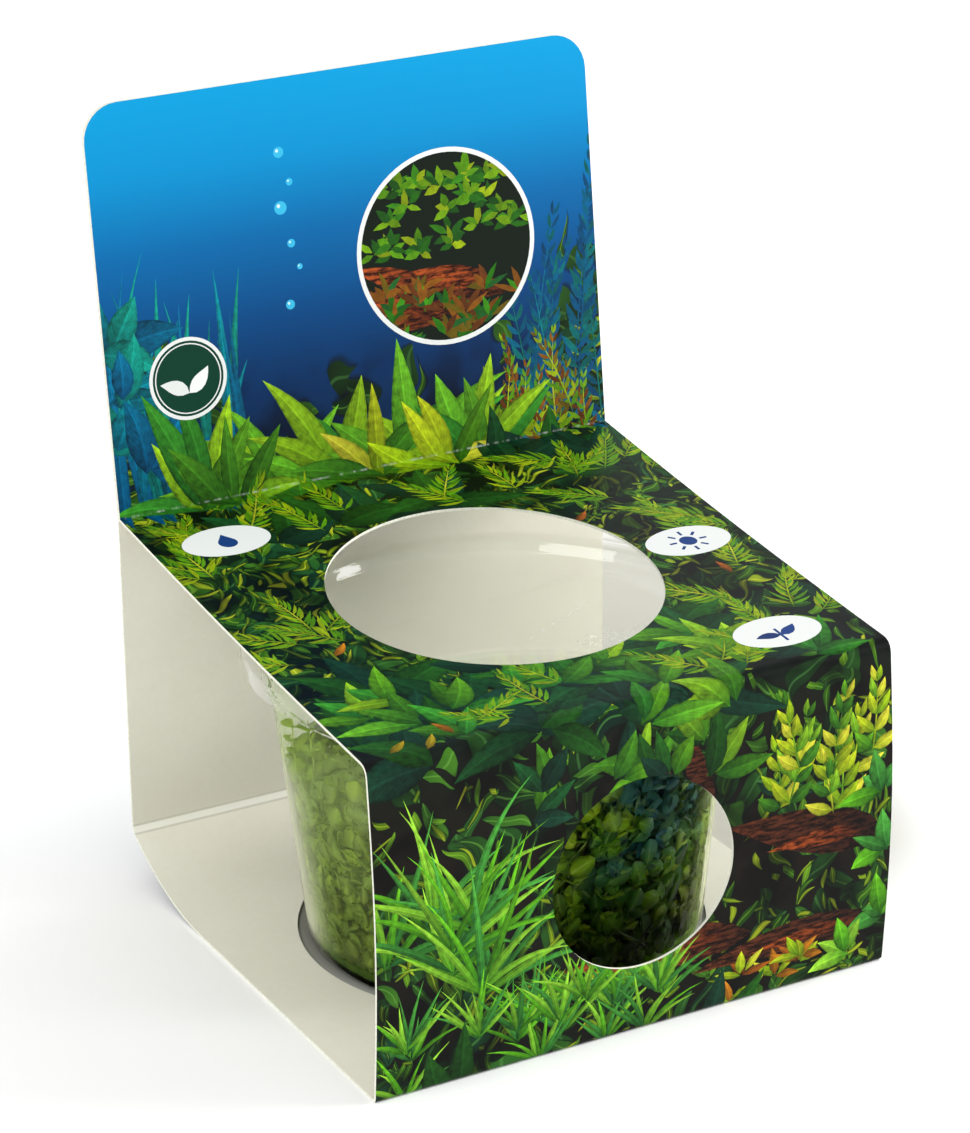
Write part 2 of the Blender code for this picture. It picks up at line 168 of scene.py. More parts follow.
class Net:
    """Short calls that add nodes to a material and join them up."""

    def __init__(self, name):
        self.material = bpy.data.materials.new(name)
        self.material.use_nodes = True
        self.tree = self.material.node_tree
        self.shader = self.tree.nodes["Principled BSDF"]
        self.output = self.tree.nodes["Material Output"]

    def put(self, value, socket):
        """Join a value to a socket, or set a plain number, vector or colour on it."""
        if isinstance(value, Value):
            self.tree.links.new(value.socket, socket)
        elif isinstance(value, (int, float)):
            socket.default_value = value
        else:
            wanted = len(socket.default_value)
            socket.default_value = (tuple(value) + (1.0,))[:wanted]

    def node(self, kind, inputs=(), **settings):
        made = self.tree.nodes.new(kind)
        for name, value in settings.items():
            setattr(made, name, value)
        for place, value in dict(inputs).items():
            self.put(value, made.inputs[place])
        return made

    def value(self, kind, output, inputs=(), **settings):
        return Value(self, self.node(kind, inputs, **settings).outputs[output])

    def set(self, **values):
        """Values of the Principled shader's own sockets, with _ for a space."""
        for name, value in values.items():
            self.put(value, self.shader.inputs[name.replace("_", " ")])

    def math(self, operation, *values, clamp=False):
        return self.value("ShaderNodeMath", 0, enumerate(values), operation=operation, use_clamp=clamp)

    def vector(self, operation, *values):
        places = (0, "Scale") if operation == "SCALE" else range(len(values))
        output = "Value" if operation in ("LENGTH", "DOT_PRODUCT") else "Vector"
        return self.value("ShaderNodeVectorMath", output, zip(places, values), operation=operation)

    def split(self, vector):
        made = self.node("ShaderNodeSeparateXYZ", {0: vector})
        return [Value(self, socket) for socket in made.outputs]

    def join(self, x, y):
        return self.value("ShaderNodeCombineXYZ", 0, {0: x, 1: y})

    def turn(self, vector, angle):
        given = {"Vector": vector, "Angle": angle}
        return self.value("ShaderNodeVectorRotate", 0, given, rotation_type="Z_AXIS")

    def mix(self, share, a, b):
        return self.value("ShaderNodeMix", 2, {0: share, 6: a, 7: b}, data_type="RGBA", blend_type="MIX")

    def ramp(self, value, stops):
        """Colours at places from 0 to 1."""
        made = self.node("ShaderNodeValToRGB", {0: value})
        line = made.color_ramp.elements
        while len(line) < len(stops):
            line.new(0.5)
        for element, (place, colour) in zip(line, stops):
            element.position = place
            element.color = (*colour, 1.0)
        return Value(self, made.outputs[0])

    def step(self, value, low, high):
        """0 below low, 1 above high, smooth between."""
        given = {0: value, 1: low, 2: high}
        return self.value("ShaderNodeMapRange", 0, given, interpolation_type="SMOOTHSTEP")

    def line(self, off, inner, outer):
        """1 on a line and 0 away from it, for a distance from its middle."""
        return 1.0 - self.step(off, inner, outer)

    def noise(self, vector, scale, detail=2.0, roughness=0.5, kind="3D", output="Fac"):
        given = {"Vector": vector, "Scale": scale, "Detail": detail, "Roughness": roughness}
        return self.value("ShaderNodeTexNoise", output, given, noise_dimensions=kind)

    def cells(self, vector, scale):
        """The nearest of many scattered points: how far it is, a colour of its own, and where it is."""
        made = self.node("ShaderNodeTexVoronoi", {"Vector": vector, "Scale": scale}, voronoi_dimensions="2D")
        return [Value(self, made.outputs[name]) for name in ("Distance", "Color", "Position")]

    def attribute(self, name, output="Vector"):
        return self.value("ShaderNodeAttribute", output, attribute_name=name)

    def place(self):
        """The object's own coordinates, in metres."""
        return self.value("ShaderNodeTexCoord", "Object")

    def bump(self, height, strength, distance):
        given = {"Height": height, "Strength": strength, "Distance": distance}
        self.put(self.value("ShaderNodeBump", 0, given), self.shader.inputs["Normal"])

    def cover(self, share, kind, colour):
        """Lay a second shader of one colour over the first by its share."""
        first = Value(self, self.shader.outputs[0])
        second = self.value(kind, 0, {"Color": colour})
        blend = self.value("ShaderNodeMixShader", 0, {0: share, 1: first, 2: second})
        self.put(blend, self.output.inputs["Surface"])


# The sleeve's side view, walked from the header's top down its front and all the way round

def bowed(start, end, bow, steps):
    """A run that bulges sideways by the bow in its middle."""
    along = end - start
    side = Vector((along.y, -along.x)).normalized()
    shares = [i / steps for i in range(steps + 1)]
    return [start + along * t + side * bow * math.sin(math.pi * t) for t in shares]


def curl_up(start, end, steps):
    """An arc that leaves its start level."""
    run = end - start
    radius = run.length_squared / (2 * run.y)
    sweep = math.asin(run.x / radius)
    turns = [sweep * i / steps for i in range(steps + 1)]
    return [start + radius * Vector((math.sin(turn), 1 - math.cos(turn))) for turn in turns]


def trimmed(points, at_start, at_end):
    """A run made shorter at its ends, to leave room for the folds."""
    first = points[0] + (points[1] - points[0]).normalized() * at_start
    last = points[-1] + (points[-2] - points[-1]).normalized() * at_end
    inner = [p for p in points[1:-1] if (p - points[0]).length > at_start]
    return [first] + [p for p in inner if (p - points[-1]).length > at_end] + [last]


def fold(before, corner, after, steps):
    """The rounded fold between two trimmed runs."""
    a = before[-1]
    b = after[0]
    shares = [i / steps for i in range(1, steps)]
    return [a * (1 - t) ** 2 + corner * 2 * t * (1 - t) + b * t ** 2 for t in shares]


def side_path():
    """The printed side's outline as points, and the number of the first point of each part."""
    front_bottom = Vector((0.0, 0.0))
    base_bend = Vector((FLAT_BASE, 0.0))
    chamfer_low = BACK_FOLD - CHAMFER_WAY * BACK_FOLD_CHAMFER
    front_top = Vector((-FRONT_LEAN, FRONT_HEIGHT))
    crease = Vector((front_top.x + TOP_DEPTH, FRONT_HEIGHT + TOP_RISE))
    header_top = crease + HEADER_RISE
    header_back = Vector((HEADER_RISE.y, -HEADER_RISE.x)).normalized() * HEADER_THICKNESS
    front = trimmed(bowed(front_top, front_bottom, FRONT_BOW, 9), FRONT_TOP_ROUND, SMALL_ROUND)
    flat = trimmed([front_bottom, base_bend], SMALL_ROUND, 0.0)
    curl = trimmed(curl_up(base_bend, chamfer_low, 8), 0.0, SMALL_ROUND / 2)
    chamfer = trimmed([chamfer_low, BACK_FOLD], SMALL_ROUND / 2, SMALL_ROUND / 2)
    back = trimmed([BACK_FOLD, crease + header_back], SMALL_ROUND / 2, 0.0)
    top = trimmed(bowed(crease, front_top, -TOP_SAG, 8), 0.0, FRONT_TOP_ROUND)
    runs = {"header": [header_top], "top": top, "front_fold": fold(top, front_top, front, 6), "front": front,
            "bottom_fold": fold(front, front_bottom, flat, 4), "base": flat + curl[1:],
            "low_fold": fold(curl, chamfer_low, chamfer, 2), "chamfer": chamfer,
            "high_fold": fold(chamfer, BACK_FOLD, back, 2), "back": back, "end": [header_top + header_back]}
    path = []
    starts = {}
    for name, points in runs.items():
        starts[name] = len(path)
        path += [tuple(p) for p in points]
    return np.array(path), starts


PATH, STARTS = side_path()
MIDDLE_Y = (PATH[:, 0].min() + PATH[:, 0].max()) / 2
RUNS = np.diff(PATH, axis=0)
RUN_LENGTHS = np.hypot(RUNS[:, 0], RUNS[:, 1])
DOWN = np.concatenate([[0.0], np.cumsum(RUN_LENGTHS)])
RUN_NORMALS = np.stack([RUNS[:, 1], -RUNS[:, 0]], 1) / RUN_LENGTHS[:, None]
SHEET_LENGTH = DOWN[-1]
TOP_START = DOWN[STARTS["top"]]
FRONT_START = (DOWN[STARTS["front_fold"]] + DOWN[STARTS["front"] - 1]) / 2
FRONT_END = (DOWN[STARTS["bottom_fold"]] + DOWN[STARTS["base"] - 1]) / 2
AXIS = np.array((CUP_X, CUP_FROM_FRONT - MIDDLE_Y, 0.0))


def run_of(down):
    """Which straight run of the path a distance down the sheet lies in, and how far along it."""
    found = np.clip(np.searchsorted(DOWN, down, side="right") - 1, 0, len(RUNS) - 1)
    return found, (down - DOWN[found]) / RUN_LENGTHS[found]


def inner_path():
    """The path moved in by the board's thickness."""
    first = np.vstack([RUN_NORMALS[:1], RUN_NORMALS])
    second = np.vstack([RUN_NORMALS, RUN_NORMALS[-1:]])
    mitre = (first + second) / (1 + (first * second).sum(1))[:, None]
    return PATH - mitre * BOARD


INNER_PATH = inner_path()


def run_end_normals():
    """The normals at both ends of each run: shared across gentle bends, so only the creases look sharp."""
    start = RUN_NORMALS.copy()
    end = RUN_NORMALS.copy()
    long_run = 15.0
    gentle = 0.8
    for i in range(1, len(RUNS)):
        a = RUN_NORMALS[i - 1]
        b = RUN_NORMALS[i]
        a_long = RUN_LENGTHS[i - 1] > long_run
        b_long = RUN_LENGTHS[i] > long_run
        if a @ b < gentle or (a_long and b_long):
            continue
        shared = a if a_long else b if b_long else (a + b) / np.linalg.norm(a + b)
        end[i - 1] = shared
        start[i] = shared
    return start, end


RUN_START_NORMALS, RUN_END_NORMALS = run_end_normals()


def on_sheet(across, down, inside=False):
    """Where points of the unfolded sheet lie on the folded one, in millimetres."""
    path = INNER_PATH if inside else PATH
    run, share = run_of(down)
    side = path[run] * (1 - share)[:, None] + path[run + 1] * share[:, None]
    return np.stack([across, side[:, 0] - MIDDLE_Y, side[:, 1]], 1)


def circle(centre_x, centre_down, radius):
    turns = np.arange(HOLE_STEPS) * 2 * math.pi / HOLE_STEPS
    return np.stack([centre_x + radius * np.cos(turns), centre_down + radius * np.sin(turns)], 1)


def base_hole_outline():
    """The round hole over which the curled base is bent, as it is on the unfolded sheet."""
    ring = circle(*BASE_HOLE)
    first = STARTS["base"]
    last = STARTS["low_fold"]
    ring[:, 1] = np.interp(ring[:, 1], PATH[first:last, 0], DOWN[first:last])
    return ring


def sheet_outline():
    """The sheet's edge with its rounded corners, and a point at each bend."""
    half = WIDTH / 2
    steps = 8
    corner = []
    for i in range(steps + 1):
        turn = math.radians(90) * i / steps
        in_by = HEADER_CORNER * (1 - math.sin(turn))
        corner.append((half - in_by, HEADER_CORNER * (1 - math.cos(turn))))
    bends = [(half, down) for down in DOWN[1:-1]]
    right = corner + bends + [(x, SHEET_LENGTH - down) for x, down in reversed(corner)]
    return np.array(right + [(-x, down) for x, down in reversed(right)])


class Drawing:
    """Lines on the flat sheet, and the triangles that they cut it into."""

    def __init__(self):
        self.points = []
        self.edges = []

    def line(self, points, closed=False):
        ids = list(range(len(self.points), len(self.points) + len(points)))
        self.points += [Vector((float(p[0]), float(p[1]))) for p in points]
        self.edges += list(zip(ids, ids[1:]))
        if closed:
            self.edges.append((ids[-1], ids[0]))

    def cut(self):
        made = geometry.delaunay_2d_cdt(self.points, self.edges, [], 0, 1e-3, False)
        return np.array([tuple(p) for p in made[0]]), np.array(made[2])


def ordered_loops(edges):
    """Directed edges joined into closed loops of point numbers."""
    follow = dict(edges)
    loops = []
    while follow:
        start = next(iter(follow))
        loop = [start]
        place = follow.pop(start)
        while place != start:
            loop.append(place)
            place = follow.pop(place)
        loops.append(loop)
    return loops


HOLES = [circle(TOP_HOLE[0], FRONT_START - TOP_HOLE[1], TOP_HOLE[2]),
         circle(WINDOW[0], FRONT_START + FRONT_HEIGHT - WINDOW[1], WINDOW[2]),
         base_hole_outline()]


def inside(outline, places):
    """Which places, sorted by their distance down the sheet, lie inside an outline."""
    found = np.zeros(len(places), bool)
    low = outline.min(0)
    high = outline.max(0)
    first, last = np.searchsorted(places[:, 1], (low[1], high[1]))
    near = first + np.flatnonzero((places[first:last, 0] > low[0]) & (places[first:last, 0] < high[0]))
    x, y = places[near, :1], places[near, 1:]
    ax, ay = outline.T
    bx, by = np.roll(outline, -1, 0).T
    crosses = ((ay > y) != (by > y)) & (x < ax + (y - ay) * (bx - ax) / np.where(by == ay, 1.0, by - ay))
    found[near] = crosses.sum(1) % 2 == 1
    return found


def cut_sheet(art):
    """The printed skin: its points on the flat sheet, its triangles, and the top shape on each, or -1."""
    drawing = Drawing()
    drawing.line(sheet_outline(), closed=True)
    for hole in HOLES:
        drawing.line(hole, closed=True)
    for down in DOWN[1:-1]:
        drawing.line([(-WIDTH / 2, down), (WIDTH / 2, down)])
    for shape in art:
        drawing.line(shape["outline"], closed=True)
        if len(shape["spine"]):
            drawing.line(shape["spine"])
    points, faces = drawing.cut()
    corners = points[faces]
    first, second = corners[:, 1] - corners[:, 0], corners[:, 2] - corners[:, 0]
    whole = np.abs(first[:, 0] * second[:, 1] - first[:, 1] * second[:, 0]) > 1e-9
    order = np.argsort(corners[:, :, 1].mean(1))
    order = order[whole[order]]
    centres = corners[order].mean(1)
    kept = inside(sheet_outline(), centres)
    for hole in HOLES:
        kept &= ~inside(hole, centres)
    shown = np.full(len(order), -1)
    for n, shape in enumerate(art):
        here = inside(shape["outline"], centres)
        if shape["inset"] is not None:
            here &= inside(art[shape["inset"]]["outline"], centres)
        shown[here] = n
    return points, faces[order[kept]].tolist(), shown[kept]


def inside_any_hole(point):
    for hole in HOLES:
        low = hole.min(0)
        high = hole.max(0)
        middle = (low + high) / 2
        if (((point - middle) / (high - low) * 2) ** 2).sum() < 1:
            return True
    return False


def plain_skin(points, loops):
    """Triangles of the unprinted skin, between the same edge points. New points are added to the list."""
    drawing = Drawing()
    ids = [i for loop in loops for i in loop]
    drawing.points = [Vector(points[i]) for i in ids]
    at = {i: n for n, i in enumerate(ids)}
    rims = [[at[i] for i in loop] for loop in loops]
    outer = max(range(len(loops)), key=lambda n: len(loops[n]))
    rims = [rims[outer]] + [rim[::-1] for n, rim in enumerate(rims) if n != outer]
    for down in DOWN[1:-1]:
        on_line = sorted((i for i in ids if abs(points[i][1] - down) < 1e-4), key=lambda i: points[i][0])
        for a, b in zip(on_line, on_line[1:]):
            if not inside_any_hole((points[a] + points[b]) / 2):
                drawing.edges.append((at[a], at[b]))
    made = geometry.delaunay_2d_cdt(drawing.points, drawing.edges, rims, 0, 1e-6, True)
    names = []
    added = []
    for place, found in zip(made[0], made[3]):
        if found:
            names.append(ids[found[0]])
        else:
            names.append(len(points) + len(added))
            added.append(tuple(place))
    faces = [[names[i] for i in face] for face, held in zip(made[2], made[5]) if held == [0]]
    return faces, added


def leaf_places(shape, points):
    """For points of a leaf: how far along it, and how far across from the midrib, -1 to 1."""
    spine = shape["spine"]
    a = spine[:-1]
    run = spine[1:] - a
    rel = points[:, None, :] - a[None]
    share = np.clip((rel * run).sum(2) / (run ** 2).sum(1), 0, 1)
    near = rel - share[..., None] * run
    best = np.argmin((near ** 2).sum(2), 1)
    rows = np.arange(len(points))
    share = share[rows, best]
    along = (best + share) / len(run)
    half = shape["half"][best] * (1 - share) + shape["half"][best + 1] * share
    side = run[best, 0] * rel[rows, best, 1] - run[best, 1] * rel[rows, best, 0]
    off = side / np.hypot(run[best, 0], run[best, 1])
    return along, np.clip(off / np.maximum(half, 0.05), -1, 1)


def card_sleeve(art, materials):
    points, printed, shown = cut_sheet(art)
    directed = {(a, b) for face in printed for a, b in zip(face, face[1:] + face[:1])}
    edge = [(a, b) for a, b in directed if (b, a) not in directed]
    loops = ordered_loops(edge)
    bare, added = plain_skin(points, loops)
    flat = np.vstack([points, np.array(added).reshape(-1, 2)])
    outer_ids = {i: n for n, i in enumerate(sorted({i for face in printed for i in face}))}
    inner_ids = {i: n + len(outer_ids) for n, i in enumerate(sorted({i for face in bare for i in face}))}
    outer = flat[list(outer_ids)]
    inner = flat[list(inner_ids)]
    places = np.vstack([on_sheet(outer[:, 0], outer[:, 1]), on_sheet(inner[:, 0], inner[:, 1], inside=True)])
    faces = [[outer_ids[i] for i in reversed(face)] for face in printed]
    faces += [[inner_ids[i] for i in face] for face in bare]
    faces += [[outer_ids[a], outer_ids[b], inner_ids[b], inner_ids[a]] for a, b in edge]
    mesh = built_mesh("printed_card_sleeve", places, faces, *materials)
    kinds = np.repeat([0, 1, 2], [len(printed), len(bare), len(edge)])
    mesh.polygons.foreach_set("material_index", kinds)
    mesh.polygons.foreach_set("use_smooth", kinds < 2)
    sheet = mesh.attributes.new("sheet", "FLOAT_VECTOR", "POINT")
    on_flat = np.vstack([outer, inner])
    sheet.data.foreach_set("vector", np.column_stack([on_flat, np.zeros(len(on_flat))]).ravel())
    shade_like_bent_card(mesh, on_flat, printed, bare)
    colour_shapes(mesh, art, flat, printed, shown)
    return link_piece(mesh, "printed_card", "card_sleeve")


def shade_like_bent_card(mesh, on_flat, printed, bare):
    """Corner normals from the side view, so that the panels look flat and the bends round."""
    corners = np.empty(len(mesh.loops), np.int32)
    mesh.loops.foreach_get("vertex_index", corners)
    skin = 3 * (len(printed) + len(bare))
    normals = np.zeros((len(mesh.loops), 3))
    down = on_flat[corners[:skin], 1].reshape(-1, 3)
    run, _ = run_of(down.mean(1))
    run = np.repeat(run, 3)
    share = np.clip((down.ravel() - DOWN[run]) / RUN_LENGTHS[run], 0, 1)[:, None]
    side = RUN_START_NORMALS[run] * (1 - share) + RUN_END_NORMALS[run] * share
    side /= np.linalg.norm(side, axis=1)[:, None]
    outward = np.repeat([1.0, -1.0], [3 * len(printed), 3 * len(bare)])[:, None]
    normals[:skin, 1:] = side * outward
    mesh.normals_split_custom_set(normals.tolist())


def colour_shapes(mesh, art, flat, printed, shown):
    """Each leaf's two tones and its own coordinates, as corner attributes. Alpha 0 shows the ground."""
    corners = len(mesh.loops)
    root_tone = np.zeros((corners, 4))
    tip_tone = np.zeros((corners, 4))
    place = np.zeros((corners, 3))
    by_shape = {}
    for n, shape in enumerate(shown):
        if shape >= 0:
            by_shape.setdefault(shape, []).append(n)
    for shape_id, found in by_shape.items():
        shape = art[shape_id]
        loops = (np.array(found)[:, None] * 3 + np.arange(3)).ravel()
        vertices = np.array([printed[n][::-1] for n in found]).ravel()
        root_tone[loops] = (*shape["tones"][0], 1.0)
        tip_tone[loops] = (*shape["tones"][1], 1.0)
        place[loops, 2] = shape["kind"]
        if len(shape["spine"]):
            place[loops, :2] = np.stack(leaf_places(shape, flat[vertices]), 1)
    for name, kind, key, values in (("root_tone", "FLOAT_COLOR", "color", root_tone),
                                    ("tip_tone", "FLOAT_COLOR", "color", tip_tone),
                                    ("leaf_place", "FLOAT_VECTOR", "vector", place)):
        layer = mesh.attributes.new(name, kind, "CORNER")
        layer.data.foreach_set(key, values.ravel())


# The print: a generic underwater garden, drawn as outlines on the flat sheet. Headings in degrees, 90 is up

HERB = [((30, 84, 14), (96, 160, 24)), ((44, 104, 16), (140, 190, 34)), ((24, 70, 16), (70, 134, 26))]
LIME = [((90, 130, 10), (196, 208, 30)), ((70, 120, 10), (170, 200, 20)), ((120, 140, 10), (220, 214, 60))]
SWORD = [((34, 96, 20), (104, 176, 34)), ((24, 80, 26), (60, 150, 40)), ((70, 120, 10), (150, 196, 30))]
SHADE = [((10, 40, 22), (22, 78, 34)), ((8, 34, 26), (20, 66, 44)), ((14, 50, 14), (34, 92, 24))]
LAGOON = [((0, 74, 100), (0, 138, 150)), ((0, 60, 96), (0, 112, 150)), ((2, 84, 84), (14, 150, 130))]
AUTUMN = [((110, 66, 12), (206, 130, 24)), ((90, 74, 8), (196, 170, 30)), ((84, 44, 12), (170, 92, 22))]
GRASS = [((30, 90, 10), (110, 200, 30)), ((50, 120, 14), (160, 222, 60)), ((24, 80, 30), (80, 170, 60))]
WOOD = [((40, 18, 10), (112, 50, 20)), ((52, 22, 10), (150, 66, 24)), ((30, 14, 10), (84, 40, 20))]


# What a drawn shape is shaded as
SIGN = -1.0
LEAF = 0.0
BARK = 1.0


class Garden:
    """The shapes of the print, in painting order."""

    def __init__(self):
        self.shapes = []
        self.chance = random.Random(5)
        self.inset = None

    def add(self, outline, tones, kind=SIGN, spine=(), half=()):
        self.shapes.append({
            "outline": np.array(outline, float),
            "spine": np.array(spine, float).reshape(-1, 2),
            "half": np.array(half, float),
            "tones": tones,
            "kind": kind,
            "inset": self.inset,
        })

    def tones(self, palette):
        shade = self.chance.uniform(0.7, 1.25)
        return [tuple(c * shade for c in srgb(*tone)) for tone in self.chance.choice(palette)]

    def near(self, value, share=0.25):
        return value * self.chance.uniform(1 - share, 1 + share)

    def blade(self, root, heading, length, width, palette, bend=0.0, steps=6, fat=0.8, kind=LEAF):
        """One leaf from its root, bent by so many degrees, widest nearer the root for a fat under 1."""
        x, y = root
        spine = [(x, y)]
        left = []
        right = []
        half = [0.0]
        for i in range(1, steps + 1):
            turn = math.radians(heading + bend * (i - 0.5) / steps)
            x += length / steps * math.cos(turn)
            y -= length / steps * math.sin(turn)
            spine.append((x, y))
            half.append(width / 2 * math.sin(math.pi * (i / steps) ** fat) if i < steps else 0.0)
            if i < steps:
                side = math.radians(heading + bend * i / steps + 90)
                aside = (half[-1] * math.cos(side), -half[-1] * math.sin(side))
                left.append((x + aside[0], y + aside[1]))
                right.append((x - aside[0], y - aside[1]))
        inner = spine if steps > 3 else ()
        self.add([spine[0], *right, spine[-1], *reversed(left)], self.tones(palette), kind, inner, half)
        return spine

    def tuft(self, root, count, length, width, palette, lean=90, spread=70, bend=30, **more):
        """Blades from one root, fanned out."""
        order = [i - (count - 1) / 2 for i in range(count)]
        self.chance.shuffle(order)
        for i in order:
            off = spread * i / max(1, count - 1)
            aside = self.chance.uniform(-1, 1) * width / 3
            start = (root[0] + aside, root[1] + self.chance.uniform(-0.5, 0.5))
            heading = lean + off + self.chance.uniform(-6, 6)
            self.blade(start, heading, self.near(length), self.near(width), palette,
                       -bend * (1 if off < 0 else -1) * self.chance.uniform(-0.3, 1.2), **more)

    def stem(self, root, heading, length, leaf, palette, gap=None, slim=0.34, open_way=55, **more):
        """A stem with pairs of leaves that get smaller towards its tip."""
        spine = self.blade(root, heading, length, 0.35, palette, self.chance.uniform(-20, 20), 7, 0.5)
        count = max(2, int(length / (gap or leaf * 0.55)))
        for i in range(count + 1):
            t = (0.08 + 0.92 * i / count) * (len(spine) - 1)
            k = min(int(t), len(spine) - 2)
            at = [spine[k][n] + (spine[k + 1][n] - spine[k][n]) * (t - k) for n in (0, 1)]
            way = math.degrees(math.atan2(spine[k][1] - spine[k + 1][1], spine[k + 1][0] - spine[k][0]))
            size = leaf * (1.1 - 0.5 * i / count)
            for side in (1, -1):
                turn = way + side * self.near(open_way * (1.1 - 0.6 * i / count))
                self.blade(at, turn, self.near(size, 0.15), size * slim, palette, -side * 25, **more)

    def scatter(self, count, across, down):
        return [(self.chance.uniform(*across), self.chance.uniform(*down)) for _ in range(count)]

    def drawn(self, value):
        """A number between the two of a pair, or the value itself."""
        return self.chance.uniform(*value) if isinstance(value, tuple) else value

    def plant(self, form, places, *values, **more):
        """A blade, tuft or stem at each place, by its own method, with a number drawn for each pair."""
        for place in places:
            given = [self.drawn(value) for value in values]
            named = {name: self.drawn(value) for name, value in more.items()}
            form(place, *given, **named)

    def oval(self, x, y, width, height, tone, steps=40):
        turns = [math.tau * i / steps for i in range(steps)]
        outline = [(x + width / 2 * math.cos(t), y + height / 2 * math.sin(t)) for t in turns]
        self.add(outline, [srgb(*tone)] * 2)

    def bar(self, start, end, width, tone):
        a, b = Vector(start), Vector(end)
        side = Vector(((b - a).y, -(b - a).x)).normalized() * (width / 2)
        self.add([a + side, b + side, b - side, a - side], [srgb(*tone)] * 2)

    def drop(self, x, y, size, tone):
        turns = [math.radians(-30 + 240 * i / 16) for i in range(17)]
        round_end = [(x + size * 0.55 * math.cos(t), y + size * 0.55 * math.sin(t)) for t in turns]
        self.add([(x, y - size)] + round_end, [srgb(*tone)] * 2)


def header_garden(g):
    reeds = g.scatter(26, (-44, -20), (66, 72))
    upright = (92 * 0.92, 92 * 1.08)
    g.plant(g.blade, reeds, upright, (22, 44), (1.4, 2.6), LAGOON, (-30, 30), 9, 0.5)
    g.plant(g.stem, g.scatter(9, (29, 45), (62, 72)), (80, 100), (26, 46), 4.4, LAGOON, slim=0.26, steps=3)
    g.plant(g.tuft, ((-45, 40), (-44, 48), (-45, 56), (-38, 60)), 4, 11, 5.0, LAGOON, lean=40, spread=90)
    low = g.scatter(12, (22, 45), (64, 72))
    g.plant(g.stem, low, (70, 110), (9, 20), 3.0, AUTUMN + LIME, slim=0.3, steps=3)
    swords = ((-16, 71), (-4, 70), (8, 71), (-30, 70), (20, 70))
    g.plant(g.tuft, swords, 7, 21, 4.6, SWORD, spread=110, bend=50, steps=8)
    g.plant(g.tuft, ((-24, 70), (2, 70), (14, 71)), 5, 15, 4.0, HERB + LIME, spread=120, bend=40, steps=7)
    bubbles = ((-12, 12, 0.9), (-10.5, 17, 0.6), (-12.4, 21, 1.1),
               (-11, 27, 0.7), (-9.8, 31, 0.5), (-12, 37, 0.8))
    for x, y, r in bubbles:
        g.oval(x, y, 2 * r, 2 * r, (60, 190, 232), 20)
        g.oval(x - 0.3 * r, y - 0.3 * r, 0.6 * r, 0.6 * r, (210, 240, 250), 10)


def top_garden(g):
    back, front = TOP_START, FRONT_START
    wide = (-44, 44)
    low = g.scatter(30, wide, (front - 22, front + 2)) + g.scatter(10, wide, (back + 6, back + 20))
    g.plant(g.tuft, low, 3, 13, 5.6, SHADE, lean=(20, 160), spread=90, steps=6)
    low = g.scatter(17, wide, (front - 16, front + 4))
    g.plant(g.tuft, low, 3, 11, 3.8, HERB + SWORD, lean=(30, 150), spread=80, steps=6)
    ferns = g.scatter(15, (27, 45), (back + 10, front - 8))
    ferns += g.scatter(11, (-45, -28), (back + 14, front - 10))
    ferns += g.scatter(8, (-34, 36), (back + 10, back + 19))
    g.plant(g.stem, ferns, (20, 160), (9, 17), 4.2, LIME, slim=0.17, gap=1.1, steps=3, open_way=48)
    ferns = g.scatter(9, (-42, 42), (front - 12, front - 2))
    g.plant(g.stem, ferns, (20, 160), (8, 13), 3.6, LIME, slim=0.2, gap=1.2, steps=3)
    g.plant(g.blade, g.scatter(11, (-43, 43), (back + 6, front)), (0, 180), 4.5, 1.5, AUTUMN, 20, 4)


def front_garden(g):
    top, bottom = FRONT_START, FRONT_END
    for x, y, heading, length, width in ((44, bottom - 24, 168, 30, 8), (20, bottom - 12, 175, 34, 7),
                                         (45, bottom - 8, 172, 36, 6), (12, top + 22, 100, 20, 4)):
        g.plant(g.blade, [(x, y)], heading, length, width, WOOD, (-20, 20), 8, 0.7, kind=BARK)
        g.blade((x - 4, y - 1), heading + 6, length * 0.6, width * 0.35, WOOD[1:2], 10, 6, 0.7, kind=BARK)
    ferns = g.scatter(9, (20, 44), (top + 16, top + 26))
    g.plant(g.stem, ferns, (70, 110), (9, 15), 5.0, LIME + HERB, slim=0.4, steps=5)
    dark = g.scatter(8, (-20, 16), (top + 8, top + 15))
    g.plant(g.tuft, dark, 3, 9, 3.4, HERB + SHADE, lean=(30, 150), steps=5)
    tall = g.scatter(7, (-44, -22), (top + 26, bottom - 12))
    g.plant(g.tuft, tall, 8, 21, 1.3, GRASS, lean=(70, 110), spread=110, bend=50, steps=8, fat=0.5)
    short = g.scatter(22, (-44, 8), (bottom - 9, bottom + 2))
    g.plant(g.tuft, short, 8, 10, 0.9, GRASS, spread=90, bend=40, steps=5, fat=0.5)
    at_edge = ((44, bottom - 20), (43, bottom - 31), (45, bottom - 9), (38, bottom - 3))
    g.plant(g.tuft, at_edge, 4, 6.5, 3.0, GRASS, lean=125, spread=110, steps=5)
    bright = g.scatter(5, (12, 32), (bottom - 5, bottom))
    g.plant(g.tuft, bright, 5, 4.6, 1.6, LIME + AUTUMN, spread=150, steps=4)


def rear_garden(g):
    """The underside and the back, whose print is a guess."""
    low = g.scatter(16, (-42, 42), (FRONT_END + 4, FRONT_END + 100))
    g.plant(g.tuft, low, 4, 13, 4.4, SHADE, lean=(0, 360), spread=140)
    for x in range(-40, 45, 10):
        place = (x + g.chance.uniform(-3, 3), SHEET_LENGTH - 122)
        g.tuft(place, 5, 24, 3.6, SWORD + SHADE, lean=-90, spread=70, bend=40, steps=8)
        g.stem((x + g.chance.uniform(-3, 3), SHEET_LENGTH - 124), -90, 34, 5.0, LAGOON, slim=0.3, steps=4)


